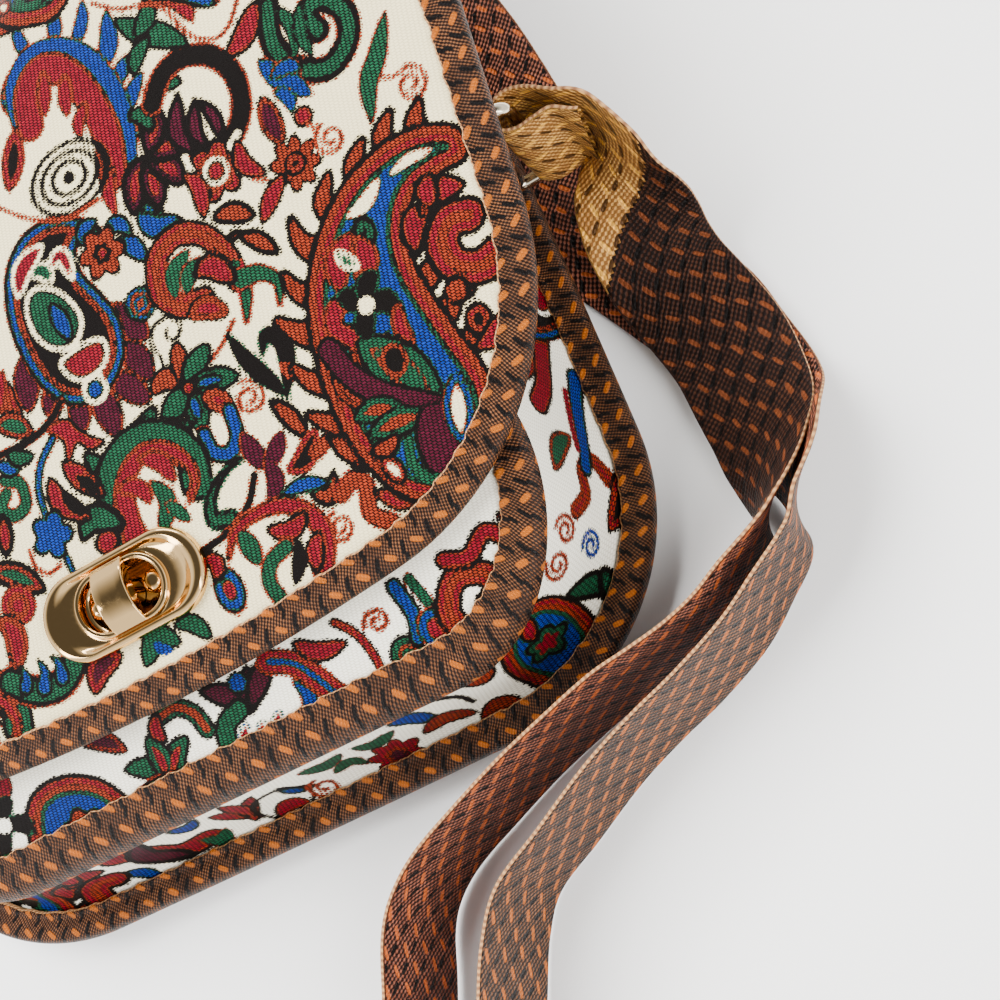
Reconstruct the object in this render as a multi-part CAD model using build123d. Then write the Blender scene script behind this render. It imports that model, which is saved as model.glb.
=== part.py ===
# A crossbody bag in woven cloth with bound seams, a long cloth strap and a turn lock.
# It lies on its back: X runs to its right, Y to its top fold, Z up and out of its front.
# The zero is the middle of the flat spot that it rests on. Lengths are in millimetres.
import math
import os

from build123d import *

# Body
bag_width = 210.0
bag_height = 220.0
bottom_corner = 50.0
top_corner = 20.0
seam_flange = 9.0
side_lean = 14.5
panel_cloth = 2.4
gusset_cloth = 1.8
lip_cloth = 1.6
binding_cloth = 0.8
back_bow = 1000.0
rest_depth = 1.0
rim_level = 5.0
mouth_level = 57.0
gusset_level = 60.0
lip_level = 90.0

# Flap
flap_width = 236.0
flap_foot_width = 211.0
flap_root_width = 186.0
flap_shoulder_level = 15.5
flap_corner = 62.0
flap_bow = 520.0
flap_drop = 24.0
flap_slope = 11.3
flap_gap = 2.2
shoulder_radius = 420.0
shoulder_turn = 8.0
fold_radius = 22.0
belly_drop = 12.5
belly_radius = 118.0
belly_turn = 36.0

# Turn lock
lock_drop = 55.5
lock_height = 52.0
lock_length = 38.0
lock_width = 19.4
lock_rim = 1.9
lock_round = 1.1
lock_dish = 1.0
lock_dish_border = 2.0
lock_slot_length = 20.0
lock_slot_width = 11.2
collar_border = 1.6
collar_height = 2.5
prong_length = 2.4
prong_thickness = 0.7
prong_reach_share = 0.38
washer_thickness = 0.6
washer_inset = 0.8
base_length = 25.0
base_width = 12.4
base_thickness = 1.2
boss_radius = 3.7
boss_height = 1.0
stem_radius = 2.5
stem_head_radius = 3.8
stem_head_thickness = 1.0
knob_length = 14.6
knob_width = 8.6
knob_neck_radius = 3.4
knob_lift = 0.5
knob_height = 7.6
knob_shoulder = 1.6
knob_round = 0.6
rivet_spread = 6.7
rivet_head_radius = 2.6
rivet_head_height = 1.6
rivet_shank_radius = 1.1
rivet_tail_radius = 1.7
rivet_tail_height = 0.5
rivet_round = 1.3

# Rings and their tabs
ring_level = 2.0
ring_height = 31.0
ring_reach = 9.0
ring_opening = 28.0
ring_wire = 1.5
ring_span = 10.5
ring_corner = 3.0
tab_width = 24.0
tab_cloth = 1.5
tab_play = 0.5
tab_slot_share = 0.45

# Strap
strap_width = 27.0
strap_cloth = 1.8
strap_loop_play = 1.9
strap_reach = 105.0  # what the route's shares beyond the bag's side are measured by
strap_steps = 2

# Shared fits
clearance = 0.3
stem_play = 0.08
overrun = 12.0

# The strap's way over the floor: X by half the bag's width and, beyond its side, by the strap's
# reach, Y by the bag's height, Z by the strap's width, then the way that its upper edge points.
strap_route_shares = (
    (1.1733, 0.005, 1.1481, 0.04, 0.02, 1), (1.2076, -0.0114, 1.1259, 0.15, 0.08, 1),
    (1.219, -0.0364, 1.0296, 0.38, 0.14, 0.9), (1.2095, -0.0623, 0.8444, 0.6, 0.2, 0.75),
    (1.1943, -0.0868, 0.6148, 0.78, 0.26, 0.54), (1.1848, -0.1132, 0.3926, 0.9, 0.3, 0.3),
    (1.1905, -0.1459, 0.2519, 0.94, 0.31, 0.1), (1.2143, -0.1886, 0.2, 0.96, 0.28, 0),
    (1.2476, -0.2341, 0.1926, 0.97, 0.2, 0.03), (1.2714, -0.2795, 0.2296, 0.98, 0.1, 0.12),
    (1.2762, -0.3205, 0.3185, 0.93, 0, 0.32), (1.2533, -0.3614, 0.437, 0.72, -0.15, 0.66),
    (1.2057, -0.4, 0.5037, 0.35, -0.2, 0.9), (1.1476, -0.4295, 0.5185, 0.05, 0, 1),
    (1.0762, -0.4545, 0.5111, -0.06, 0.12, 0.98), (1.0095, -0.4727, 0.5074, -0.07, 0.15, 0.98),
    (0.9333, -0.485, 0.5074, -0.07, 0.16, 0.98), (0.8476, -0.4923, 0.5074, -0.07, 0.16, 0.98),
    (0.7619, -0.4986, 0.5074, -0.07, 0.16, 0.98), (0.6476, -0.5141, 0.5074, -0.08, 0.15, 0.98),
    (0.5333, -0.5318, 0.5074, -0.08, 0.15, 0.98), (0.4143, -0.5545, 0.5074, -0.09, 0.15, 0.98),
    (0.3048, -0.5777, 0.5074, -0.1, 0.14, 0.98), (0.2333, -0.6023, 0.5074, -0.12, 0.11, 0.98),
    (0.1886, -0.6318, 0.5074, -0.14, 0.08, 0.98), (0.1524, -0.6795, 0.5111, -0.15, 0.06, 0.98),
    (0.1095, -0.7341, 0.5148, -0.12, 0.05, 0.99), (0.0476, -0.7977, 0.5185, -0.05, 0.02, 1),
    (-0.0381, -0.8886, 0.5185, 0, 0, 1), (-0.1238, -0.9886, 0.5185, 0, 0, 1),
    (-0.1762, -1.0705, 0.5185, 0, 0, 1), (-0.1714, -1.1386, 0.5185, 0, 0, 1),
    (-0.0857, -1.1841, 0.5185, 0, 0, 1), (0.0333, -1.1886, 0.5185, 0, 0, 1),
    (0.1238, -1.1477, 0.5185, 0, 0, 1), (0.1619, -1.0795, 0.5185, 0, 0, 1),
    (0.181, -0.9977, 0.5185, 0, 0, 1), (0.2095, -0.9159, 0.5185, 0, 0, 1),
    (0.2476, -0.8386, 0.5185, -0.05, 0.02, 1), (0.281, -0.7795, 0.5148, -0.12, 0.05, 0.99),
    (0.3286, -0.7227, 0.5111, -0.15, 0.06, 0.98), (0.379, -0.6727, 0.5074, -0.14, 0.08, 0.98),
    (0.4429, -0.6341, 0.5074, -0.11, 0.12, 0.98), (0.5571, -0.6045, 0.5074, -0.09, 0.14, 0.98),
    (0.6905, -0.5705, 0.5074, -0.08, 0.15, 0.98), (0.8048, -0.5477, 0.5074, -0.07, 0.16, 0.98),
    (0.9143, -0.5295, 0.5074, -0.07, 0.16, 0.98), (1.0333, -0.5045, 0.5111, -0.07, 0.14, 0.98),
    (1.119, -0.4773, 0.5148, -0.05, 0.1, 0.98), (1.2, -0.4477, 0.5148, 0, 0.05, 1),
    (1.2686, -0.4132, 0.5111, 0.22, 0, 0.96), (1.3143, -0.3705, 0.437, 0.6, 0, 0.78),
    (1.3238, -0.325, 0.2519, 0.9, 0.05, 0.38), (1.301, -0.2795, 0.1111, 0.985, 0.1, 0.1),
    (1.2571, -0.2341, 0.063, 0.97, 0.2, 0.01), (1.219, -0.1886, 0.0519, 0.96, 0.28, 0),
    (1.1771, -0.1459, 0.0519, 0.93, 0.36, 0), (1.1276, -0.0995, 0.0519, 0.9, 0.43, 0),
    (1.0667, -0.0432, 0.0519, 0.88, 0.46, 0), (1.0343, 0.0205, 0.0519, 0.97, 0.2, 0),
    (1.0171, 0.0886, 0.0519, 0.99, 0.12, 0), (1.0038, 0.1568, 0.0519, 0.99, 0.12, 0),
    (0.9848, 0.225, 0.0519, 0.98, 0.18, 0), (0.9524, 0.2932, 0.0519, 0.95, 0.3, 0),
    (0.901, 0.3568, 0.0556, 0.9, 0.43, 0), (0.8248, 0.4182, 0.063, 0.84, 0.54, 0.01),
    (0.7286, 0.475, 0.0704, 0.78, 0.62, 0.02), (0.6381, 0.5386, 0.1259, 0.72, 0.6, 0.16),
    (0.5524, 0.5932, 0.3556, 0.55, 0.5, 0.6), (0.419, 0.6364, 0.5037, 0.2, 0.22, 0.95),
    (0.2095, 0.6659, 0.5185, 0.02, 0.05, 1), (-0.0381, 0.6773, 0.5185, 0, 0, 1),
    (-0.2857, 0.6705, 0.5185, 0, 0, 1), (-0.5333, 0.6432, 0.5185, 0, 0, 1),
    (-0.7714, 0.5955, 0.5185, 0, 0, 1), (-0.981, 0.525, 0.5259, 0, 0, 1),
    (-1.1429, 0.4318, 0.5704, 0, 0, 1), (-1.2324, 0.325, 0.6741, 0, 0, 1),
    (-1.2629, 0.2205, 0.8222, 0, 0, 1), (-1.2533, 0.1295, 0.9778, 0, 0, 1),
    (-1.2229, 0.0632, 1.0889, 0, 0, 1), (-1.1771, 0.0205, 1.1407, 0, 0, 1),
)

# Derived
half_width = bag_width / 2
half_height = bag_height / 2
lean = math.tan(math.radians(side_lean))
slope = math.radians(flap_slope)
wall_turn = math.radians(side_lean)
front_turn = math.pi / 2 + slope
fold_turn = front_turn - math.radians(shoulder_turn)
lock_level = -lock_drop
flap_end = lock_level - flap_drop
front_way = (-math.sin(slope), math.cos(slope))
wall_way = (math.cos(wall_turn), math.sin(wall_turn))
wall_level = half_height - seam_flange
ceiling = 2 * lock_height
reach = half_width + half_height
span = flap_width / 2 + overrun
dome_middle = back_bow - rest_depth
belly_level = lock_level - belly_drop
belly_point = (belly_level, lock_height - belly_drop * math.tan(slope))
front_outer = -panel_cloth - flap_gap
front_inner = front_outer - panel_cloth
front_lip = front_inner - lip_cloth
ring_outer_bar = half_width + ring_reach
ring_inner_bar = ring_outer_bar - ring_span
ring_half = ring_opening / 2 + ring_wire
tab_inner = ring_wire + tab_play
tab_outer = tab_inner + tab_cloth
loop_inner = ring_wire + strap_loop_play
loop_outer = loop_inner + strap_cloth
loop_start = ring_outer_bar + (loop_inner + loop_outer) / 2


def shoulder_middle():
    # slides the shoulder's arc up the front until the fold's circle meets the line of the top wall
    rest_radius = shoulder_radius - fold_radius
    level = lock_level - shoulder_radius * front_way[0] + rest_radius * math.cos(fold_turn)
    height = lock_height - shoulder_radius * front_way[1] + rest_radius * math.sin(fold_turn)
    wall_far = wall_way[0] * (wall_level - level) + wall_way[1] * (rim_level - height) - fold_radius
    run = wall_far / (wall_way[0] * front_way[1] - wall_way[1] * front_way[0])
    level = lock_level + run * front_way[1] - shoulder_radius * front_way[0]
    height = lock_height - run * front_way[0] - shoulder_radius * front_way[1]
    return (level, height)


shoulder = shoulder_middle()
fold_shift = shoulder_radius - fold_radius
fold = (shoulder[0] + fold_shift * math.cos(fold_turn), shoulder[1] + fold_shift * math.sin(fold_turn))
belly = (belly_point[0] - belly_radius * front_way[0], belly_point[1] - belly_radius * front_way[1])


def side_point(middle, radius, turn):
    return (0, middle[0] + radius * math.cos(turn), middle[1] + radius * math.sin(turn))


def profile(out):
    # the flap's outer face from the side, moved out by a distance: top wall, fold, shoulder, front, belly
    end_turn = front_turn + math.radians(belly_turn)
    fold_far = fold_radius + out
    shoulder_far = shoulder_radius + out
    belly_far = belly_radius + out
    wall_top = side_point(fold, fold_far, wall_turn)
    drop = wall_top[2] + overrun
    wall_foot = (0, wall_top[1] + drop * math.tan(wall_turn), -overrun)
    fold_mid = side_point(fold, fold_far, (wall_turn + fold_turn) / 2)
    fold_end = side_point(fold, fold_far, fold_turn)
    shoulder_mid = side_point(shoulder, shoulder_far, (fold_turn + front_turn) / 2)
    shoulder_end = side_point(shoulder, shoulder_far, front_turn)
    belly_start = side_point(belly, belly_far, front_turn)
    belly_mid = side_point(belly, belly_far, (front_turn + end_turn) / 2)
    belly_end = side_point(belly, belly_far, end_turn)
    edges = [
        Line(wall_foot, wall_top),
        ThreePointArc(wall_top, fold_mid, fold_end),
        ThreePointArc(fold_end, shoulder_mid, shoulder_end),
        Line(shoulder_end, belly_start),
        ThreePointArc(belly_start, belly_mid, belly_end),
    ]
    return edges, wall_foot, belly_end


def strip(inner, outer):
    # a cloth layer that follows the side view between two distances
    low, low_foot, low_end = profile(inner)
    high, high_foot, high_end = profile(outer)
    ends = [Line(high_end, low_end), Line(low_foot, high_foot)]
    return extrude(make_face(low + high + ends), amount=span, both=True)


def under(out):
    # everything below the side view
    edges, foot, end = profile(out)
    low_end = (0, end[1], -overrun)
    return extrude(make_face(edges + [Line(end, low_end), Line(low_end, foot)]), amount=span, both=True)


def corner(middle_x, middle_y, radius, side, lift):
    # a quarter circle round a point, on one side of it and above or below it
    bend = radius * math.sqrt(0.5)
    start = (middle_x + side * radius, middle_y)
    middle = (middle_x + side * bend, middle_y + lift * bend)
    end = (middle_x, middle_y + lift * radius)
    return ThreePointArc(start, middle, end)


def outline(inset, top_round):
    # the body seen from the front, with round lower corners
    right = half_width - inset
    low = inset - half_height
    high = half_height - inset
    round_low = bottom_corner - inset
    round_high = max(top_round - inset, 0)
    edges = [
        Line((round_low - right, low), (right - round_low, low)),
        corner(right - round_low, low + round_low, round_low, 1, -1),
        Line((right, low + round_low), (right, high - round_high)),
        Line((right - round_high, high), (round_high - right, high)),
        Line((-right, high - round_high), (-right, low + round_low)),
        corner(round_low - right, low + round_low, round_low, -1, -1),
    ]
    if round_high > 0:
        edges.append(corner(right - round_high, high - round_high, round_high, 1, 1))
        edges.append(corner(round_high - right, high - round_high, round_high, -1, 1))
    return make_face(edges)


def straight(inset):
    # the back's outline as an upright block
    return Pos(0, 0, -overrun) * extrude(outline(inset, top_corner), amount=ceiling)


def leaning(inset):
    # the body's outline drawn in as it rises, starting a little under the floor
    foot = inset - (rim_level + overrun) * lean
    head = foot + (ceiling + overrun) * lean
    return loft([Pos(0, 0, -overrun) * outline(foot, 0), Pos(0, 0, ceiling) * outline(head, 0)], ruled=True)


def dome(outer, inner):
    # a layer of the bowed back, by distances inwards from its outer face
    turn = math.asin(reach / back_bow)
    far = back_bow - outer
    near = back_bow - inner

    def at(radius, angle):
        return (radius * math.sin(angle), 0, dome_middle - radius * math.cos(angle))

    edges = [
        ThreePointArc(at(far, 0), at(far, turn / 2), at(far, turn)),
        Line(at(far, turn), at(near, turn)),
        ThreePointArc(at(near, turn), at(near, turn / 2), at(near, 0)),
        Line(at(near, 0), at(far, 0)),
    ]
    return revolve(make_face(edges), axis=Axis.Z)


def below(level):
    # everything on the bottom side of a level along Y
    return Pos(0, level - bag_height, 0) * Box(2 * span, 2 * bag_height, 4 * ceiling)


def flap_block(inset):
    # the flap's outline from the front, and its narrowing to the root from the end
    side = flap_width / 2
    foot = flap_foot_width / 2
    foot_level = flap_end + flap_bow - math.sqrt(flap_bow**2 - foot**2)
    top = half_height + overrun
    edges = [
        Line((side, top), (side, flap_shoulder_level)),
        Line((side, flap_shoulder_level), (foot, foot_level)),
        ThreePointArc((foot, foot_level), (0, flap_end), (-foot, foot_level)),
        Line((-foot, foot_level), (-side, flap_shoulder_level)),
        Line((-side, flap_shoulder_level), (-side, top)),
        Line((-side, top), (side, top)),
    ]
    face = make_face(edges)
    face = fillet(face.vertices().sort_by(Axis.Y)[:2], flap_corner)
    if inset > 0:
        face = offset(face, -inset, kind=Kind.INTERSECTION)
    plan = Pos(0, 0, -overrun) * extrude(face, amount=2 * ceiling)
    root = flap_root_width / 2 - inset
    spread = (side - flap_root_width / 2) / lock_height
    corners = [
        (-root + spread * overrun, 0, -overrun),
        (root - spread * overrun, 0, -overrun),
        (root + spread * ceiling, 0, ceiling),
        (-root - spread * ceiling, 0, ceiling),
    ]
    ends = make_face(Polyline(*corners, close=True))
    return plan & extrude(ends, amount=2 * bag_height, both=True)


lock_middle = (0, lock_level, lock_height)
lock_plane = Plane(origin=lock_middle, x_dir=(1, 0, 0), z_dir=(0, *front_way))


def lock_piece(shape, low, high):
    # a flat shape of the lock raised between two distances from the flap's outer face
    return lock_plane * Pos(0, 0, low) * extrude(shape, amount=high - low)


# Cloth panels
inside_back = dome(panel_cloth, ceiling)
over_floor = Pos(0, 0, ceiling) * Box(2 * reach, 2 * reach, 2 * ceiling)
lock_slot = SlotOverall(lock_slot_length, lock_slot_width)
slot_cut = SlotOverall(lock_slot_length + 2 * clearance, lock_slot_width + 2 * clearance)
prong_place = lock_length * prong_reach_share
prongs = Pos(prong_place, 0) * Rectangle(prong_thickness, prong_length)
prongs += Pos(-prong_place, 0) * Rectangle(prong_thickness, prong_length)
plate_back = -panel_cloth - washer_thickness
base_top = front_outer + base_thickness
base_back = front_inner - washer_thickness
shanks = Pos(rivet_spread, 0) * Circle(rivet_shank_radius)
shanks += Pos(-rivet_spread, 0) * Circle(rivet_shank_radius)
bore = Circle(stem_radius + stem_play)
stem_hole = Circle(stem_radius + clearance)

back_panel = dome(0, panel_cloth) & straight(binding_cloth) & over_floor

gusset_outer = leaning(seam_flange)
gusset_inner = leaning(seam_flange + gusset_cloth)
gusset_wall = (gusset_outer - gusset_inner) & inside_back & under(front_inner) & below(gusset_level)
back_lip = dome(panel_cloth, panel_cloth + lip_cloth) & straight(binding_cloth)
back_lip -= straight(seam_flange + gusset_cloth)
rim_lip = (strip(front_lip, front_inner) & leaning(binding_cloth) & below(mouth_level)) - gusset_inner
gusset = gusset_wall + (back_lip & below(lip_level)) + rim_lip

front_panel = strip(front_inner, front_outer) & leaning(binding_cloth) & below(mouth_level - binding_cloth)
front_panel -= lock_piece(stem_hole + shanks, front_inner - overrun, front_outer + overrun)

flap = strip(-panel_cloth, 0) & flap_block(binding_cloth) & inside_back
flap += back_lip - below(lip_level)
flap -= lock_piece(slot_cut + prongs, plate_back, overrun)

# Bindings folded over the edges
back_layers = panel_cloth + lip_cloth + binding_cloth
back_binding = (dome(-binding_cloth, back_layers) & straight(0)) - straight(seam_flange)
back_binding -= back_panel
back_binding -= gusset
back_binding -= flap

front_binding = strip(front_lip - binding_cloth, front_outer + binding_cloth) & leaning(0)
front_binding &= below(mouth_level)
front_binding -= leaning(seam_flange)
front_binding -= front_panel + gusset

mouth_band = below(mouth_level) - below(mouth_level - seam_flange)
mouth_binding = strip(front_inner - binding_cloth, front_outer + binding_cloth) & mouth_band
mouth_binding &= leaning(seam_flange + gusset_cloth + clearance)
mouth_binding -= front_panel

flap_binding = strip(-panel_cloth - binding_cloth, binding_cloth) & flap_block(0)
flap_binding -= flap_block(seam_flange)
flap_binding &= dome(back_layers, ceiling)
flap_binding -= flap

# Turn lock: plate on the flap, post and knob on the front panel
plate_dish = SlotOverall(lock_length - 2 * lock_dish_border, lock_width - 2 * lock_dish_border)
collar = SlotOverall(lock_slot_length + 2 * collar_border, lock_slot_width + 2 * collar_border)
plate_blank = extrude(SlotOverall(lock_length, lock_width), amount=lock_rim)
plate_blank = fillet(plate_blank.edges().group_by(Axis.Z)[-1], lock_round)
lock_plate = lock_plane * plate_blank
lock_plate -= lock_piece(plate_dish, lock_dish, lock_rim + overrun)
lock_plate += lock_piece(collar, 0, collar_height)
lock_plate -= lock_piece(lock_slot, -overrun, collar_height + overrun)
lock_plate += lock_piece(prongs, plate_back, lock_dish)

washer_length = lock_length - 2 * washer_inset
washer_width = lock_width - 2 * washer_inset
washer_shape = SlotOverall(washer_length, washer_width) - slot_cut - prongs
lock_washer = lock_piece(washer_shape, plate_back, -panel_cloth)

lock_base = lock_piece(SlotOverall(base_length, base_width) - shanks, front_outer, base_top)
lock_base += lock_piece(Circle(boss_radius), front_outer, base_top + boss_height)
lock_base -= lock_piece(bore, front_outer - overrun, base_top + overrun)

base_washer = lock_piece(SlotOverall(base_length, base_width) - shanks - bore, base_back, front_inner)

head_top = base_back - clearance
knob_foot = collar_height + knob_lift
knob_core = knob_foot + knob_shoulder
knob_half = knob_length / 2
arch_edges = [
    Line((-knob_half, 0), (knob_half, 0)),
    Line((knob_half, 0), (knob_half, knob_shoulder)),
    ThreePointArc((knob_half, knob_shoulder), (0, knob_height), (-knob_half, knob_shoulder)),
    Line((-knob_half, knob_shoulder), (-knob_half, 0)),
]
arch = extrude(Plane.YZ * make_face(arch_edges), amount=knob_width / 2, both=True)
arch = fillet(arch.faces().filter_by(Axis.X).edges(), knob_round)
lock_knob = lock_plane * Pos(0, 0, knob_foot) * arch
lock_knob += lock_piece(Circle(knob_neck_radius), base_top + boss_height + clearance, knob_core)
lock_knob += lock_piece(Circle(stem_radius), head_top, knob_core)
lock_knob += lock_piece(Circle(stem_head_radius), head_top - stem_head_thickness, head_top)


def rivet(side):
    place = Pos(side * rivet_spread, 0)
    head = extrude(Circle(rivet_head_radius), amount=rivet_head_height)
    head = fillet(head.edges().sort_by(Axis.Z)[-1], rivet_round)
    body = lock_plane * place * Pos(0, 0, base_top) * head
    body += lock_piece(place * Circle(rivet_shank_radius), base_back, base_top)
    body += lock_piece(place * Circle(rivet_tail_radius), base_back - rivet_tail_height, base_back)
    return body


# Rings on cloth tabs at both ends of the mouth
ring_place = Pos((ring_inner_bar + ring_outer_bar) / 2, ring_level, ring_height)
ring_face = Plane.XZ * RectangleRounded(ring_span, 2 * ring_half, ring_corner)
ring_path = ring_place * ring_face.wire()
ring_start = Plane(origin=ring_path @ 0, z_dir=ring_path % 0)
right_ring = sweep(ring_start * Circle(ring_wire), path=ring_path)

tab_root = half_width - seam_flange - ring_height * lean - overrun
tab_length = ring_inner_bar - tab_root
tab_slot = tab_length * tab_slot_share
tab_shape = Circle(tab_outer) + Pos(-tab_length / 2, 0) * Rectangle(tab_length, 2 * tab_outer)
tab_shape -= Circle(tab_inner) + Pos(-tab_slot / 2, 0) * Rectangle(tab_slot, 2 * tab_inner)
tab_place = Pos(ring_inner_bar, ring_level, ring_height - tab_width / 2)
right_ring_tab = tab_place * extrude(tab_shape, amount=tab_width) - gusset_outer


def between(before, start, end, after, share):
    # a smooth curve through four values, from the second to the third
    rise = (end - before) / 2
    fall = (after - start) / 2
    turn = 2 * (start - end) + rise + fall
    bend = 3 * (end - start) - 2 * rise - fall
    return ((turn * share + bend) * share + rise) * share + start


def strap_rows():
    first = (loop_start, ring_level, ring_height, 0, 0, 1)
    last = (-loop_start, ring_level, ring_height, 0, 0, 1)
    rows = [first]
    for along, up, high, *way in strap_route_shares:
        inside = max(-1, min(along, 1))
        across = inside * half_width + (along - inside) * strap_reach
        rows.append((across, up * bag_height, high * strap_width, *way))
    rows.append(last)
    ends = [tuple(2 * a - b for a, b in zip(rows[0], rows[1]))]
    tail = [tuple(2 * a - b for a, b in zip(rows[-1], rows[-2]))]
    padded = ends + rows + tail
    smooth = []
    for i in range(len(rows) - 1):
        for step in range(strap_steps):
            share = step / strap_steps
            smooth.append(tuple(between(*four, share) for four in zip(*padded[i : i + 4])))
    return smooth + [last]


def strap_section(before, here, after):
    # the strap's cut across its way, from its edge direction
    middle = Vector(*here[:3])
    way = (Vector(*after[:3]) - Vector(*before[:3])).normalized()
    edge = Vector(*here[3:])
    edge = (edge - way * edge.dot(way)).normalized() * (strap_width / 2)
    face = way.cross(edge).normalized() * (strap_cloth / 2)
    corners = [middle + edge + face, middle + edge - face, middle - edge - face, middle - edge + face]
    return make_face(Polyline(*corners, close=True))


rows = strap_rows()
sections = []
for i, row in enumerate(rows):
    before = rows[max(i - 1, 0)]
    after = rows[min(i + 1, len(rows) - 1)]
    sections.append(strap_section(before, row, after))
strap = loft(sections, ruled=True)
loop_place = Pos(ring_outer_bar, ring_level, ring_height - strap_width / 2)
loop = loop_place * extrude(Circle(loop_outer) - Circle(loop_inner), amount=strap_width)
strap = strap + loop + mirror(loop, about=Plane.YZ)

nodes = {
    "back_panel": back_panel,
    "front_panel": front_panel,
    "gusset": gusset,
    "flap": flap,
    "back_binding": back_binding,
    "front_binding": front_binding,
    "mouth_binding": mouth_binding,
    "flap_binding": flap_binding,
    "lock_plate": lock_plate,
    "lock_washer": lock_washer,
    "lock_base": lock_base,
    "lock_base_washer": base_washer,
    "lock_knob": lock_knob,
    "right_lock_rivet": rivet(1),
    "left_lock_rivet": rivet(-1),
    "right_ring": right_ring,
    "left_ring": mirror(right_ring, about=Plane.YZ),
    "right_ring_tab": right_ring_tab,
    "left_ring_tab": mirror(right_ring_tab, about=Plane.YZ),
    "strap": strap,
}

os.makedirs("parts", exist_ok=True)
for name, shape in nodes.items():
    export_step(shape, f"parts/{name}.step")
    solids = shape.solids()
    print(name, len(solids), "solid", round(sum(s.volume for s in solids), 1), "cubic mm")
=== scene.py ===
import math

import bpy
import numpy as np
from mathutils import Matrix, Vector


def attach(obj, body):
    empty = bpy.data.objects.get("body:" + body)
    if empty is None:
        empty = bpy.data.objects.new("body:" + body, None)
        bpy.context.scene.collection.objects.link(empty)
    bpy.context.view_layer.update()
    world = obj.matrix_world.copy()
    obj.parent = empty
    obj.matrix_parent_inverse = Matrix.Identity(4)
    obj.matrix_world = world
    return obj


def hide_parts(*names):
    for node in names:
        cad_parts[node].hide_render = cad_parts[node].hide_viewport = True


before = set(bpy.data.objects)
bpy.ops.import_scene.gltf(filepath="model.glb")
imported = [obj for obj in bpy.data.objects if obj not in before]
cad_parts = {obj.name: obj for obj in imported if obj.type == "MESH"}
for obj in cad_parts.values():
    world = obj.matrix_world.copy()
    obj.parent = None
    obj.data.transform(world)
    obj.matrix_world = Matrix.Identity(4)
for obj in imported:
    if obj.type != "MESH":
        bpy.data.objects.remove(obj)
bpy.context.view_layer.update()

# Lengths below are millimetres in the bag's frame; makePiece turns them into metres.
bag = {"halfWidth": 105.0, "halfHeight": 110.0, "lowCorner": 50.0, "topCorner": 20.0, "lean": 14.5,
       "flange": 9.0, "lockLevel": -55.5, "lockHeight": 52.0, "slope": 11.3, "shoulderRadius": 420.0,
       "shoulderTurn": 8.0, "foldRadius": 22.0, "bellyDrop": 12.5, "bellyRadius": 118.0, "rimLevel": 5.0,
       "backBow": 1000.0, "restDepth": 1.0, "frontOut": -4.6, "frontIn": -7.0, "mouthLevel": 57.0,
       "frontTuck": 3.6, "seamGap": 0.8}


def turned(angle):
    # unit vectors at an angle: its cosine and its sine
    return np.stack([np.cos(angle), np.sin(angle)], -1)


wallTurn = math.radians(bag["lean"])
leanTan = math.tan(wallTurn)
frontTurn = math.pi / 2 + math.radians(bag["slope"])
foldTurn = frontTurn - math.radians(bag["shoulderTurn"])
lockPoint = np.array([bag["lockLevel"], bag["lockHeight"]])
frontWay = turned(np.array(frontTurn - math.pi / 2))  # up the front, in the side view
frontOutWay = turned(np.array(frontTurn))
wallOutWay = turned(np.array(wallTurn))
wallFoot = np.array([bag["halfHeight"] - bag["flange"], bag["rimLevel"]])
foldReach = (bag["shoulderRadius"] - bag["foldRadius"]) * turned(np.array(foldTurn))
slide = wallOutWay @ (wallFoot - lockPoint + bag["shoulderRadius"] * frontOutWay
                      - foldReach) - bag["foldRadius"]
shoulderStart = float(slide / (wallOutWay @ frontWay))
shoulderMiddle = lockPoint + shoulderStart * frontWay - bag["shoulderRadius"] * frontOutWay
foldMiddle = shoulderMiddle + foldReach
bellyStart = -bag["bellyDrop"] / frontWay[0]
bellyMiddle = lockPoint + bellyStart * frontWay - bag["bellyRadius"] * frontOutWay
foldStart = shoulderStart + bag["shoulderRadius"] * (frontTurn - foldTurn)
wallStart = foldStart + bag["foldRadius"] * (foldTurn - wallTurn)
wallTop = foldMiddle + bag["foldRadius"] * wallOutWay


# The side view by its length v from the lock: belly arc, straight front, shoulder arc, fold, straight wall.
# A point is the curve's own point plus a distance out along its normal.
def sideView(v, out=0.0):
    v = np.asarray(v, float)
    onBelly, onFront, onShoulder, onFold = v < bellyStart, v < shoulderStart, v < foldStart, v < wallStart
    angle = np.select([onBelly, onFront, onShoulder, onFold],
                      [frontTurn + (bellyStart - v) / bag["bellyRadius"], frontTurn + 0 * v,
                       frontTurn - (v - shoulderStart) / bag["shoulderRadius"],
                       foldTurn - (v - foldStart) / bag["foldRadius"]], wallTurn)
    way = turned(angle)
    wallWay = np.array([wallOutWay[1], -wallOutWay[0]])
    where = [onBelly[..., None], onFront[..., None], onShoulder[..., None], onFold[..., None]]
    point = np.select(where, [bellyMiddle + bag["bellyRadius"] * way, lockPoint + v[..., None] * frontWay,
                              shoulderMiddle + bag["shoulderRadius"] * way,
                              foldMiddle + bag["foldRadius"] * way],
                      wallTop + (v - wallStart)[..., None] * wallWay)
    return point + np.asarray(out)[..., None] * way


def clothPoint(x, v, out=0.0):
    # x as it is, then y and z from the side view at length v and a distance out
    x, v, out = np.broadcast_arrays(np.asarray(x, float), v, out)
    return np.concatenate([x[..., None], sideView(v, out)], -1)


lengthReach = {"below": -75.0, "past": 70.0, "count": 4000}
lengthTable = np.linspace(lengthReach["below"], wallStart + lengthReach["past"], lengthReach["count"])


def lengthAtLevel(y, out=0.0):
    # the length v at which the side view reaches a level y, read from the table
    return np.interp(y, sideView(lengthTable, out)[:, 0], lengthTable)


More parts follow.
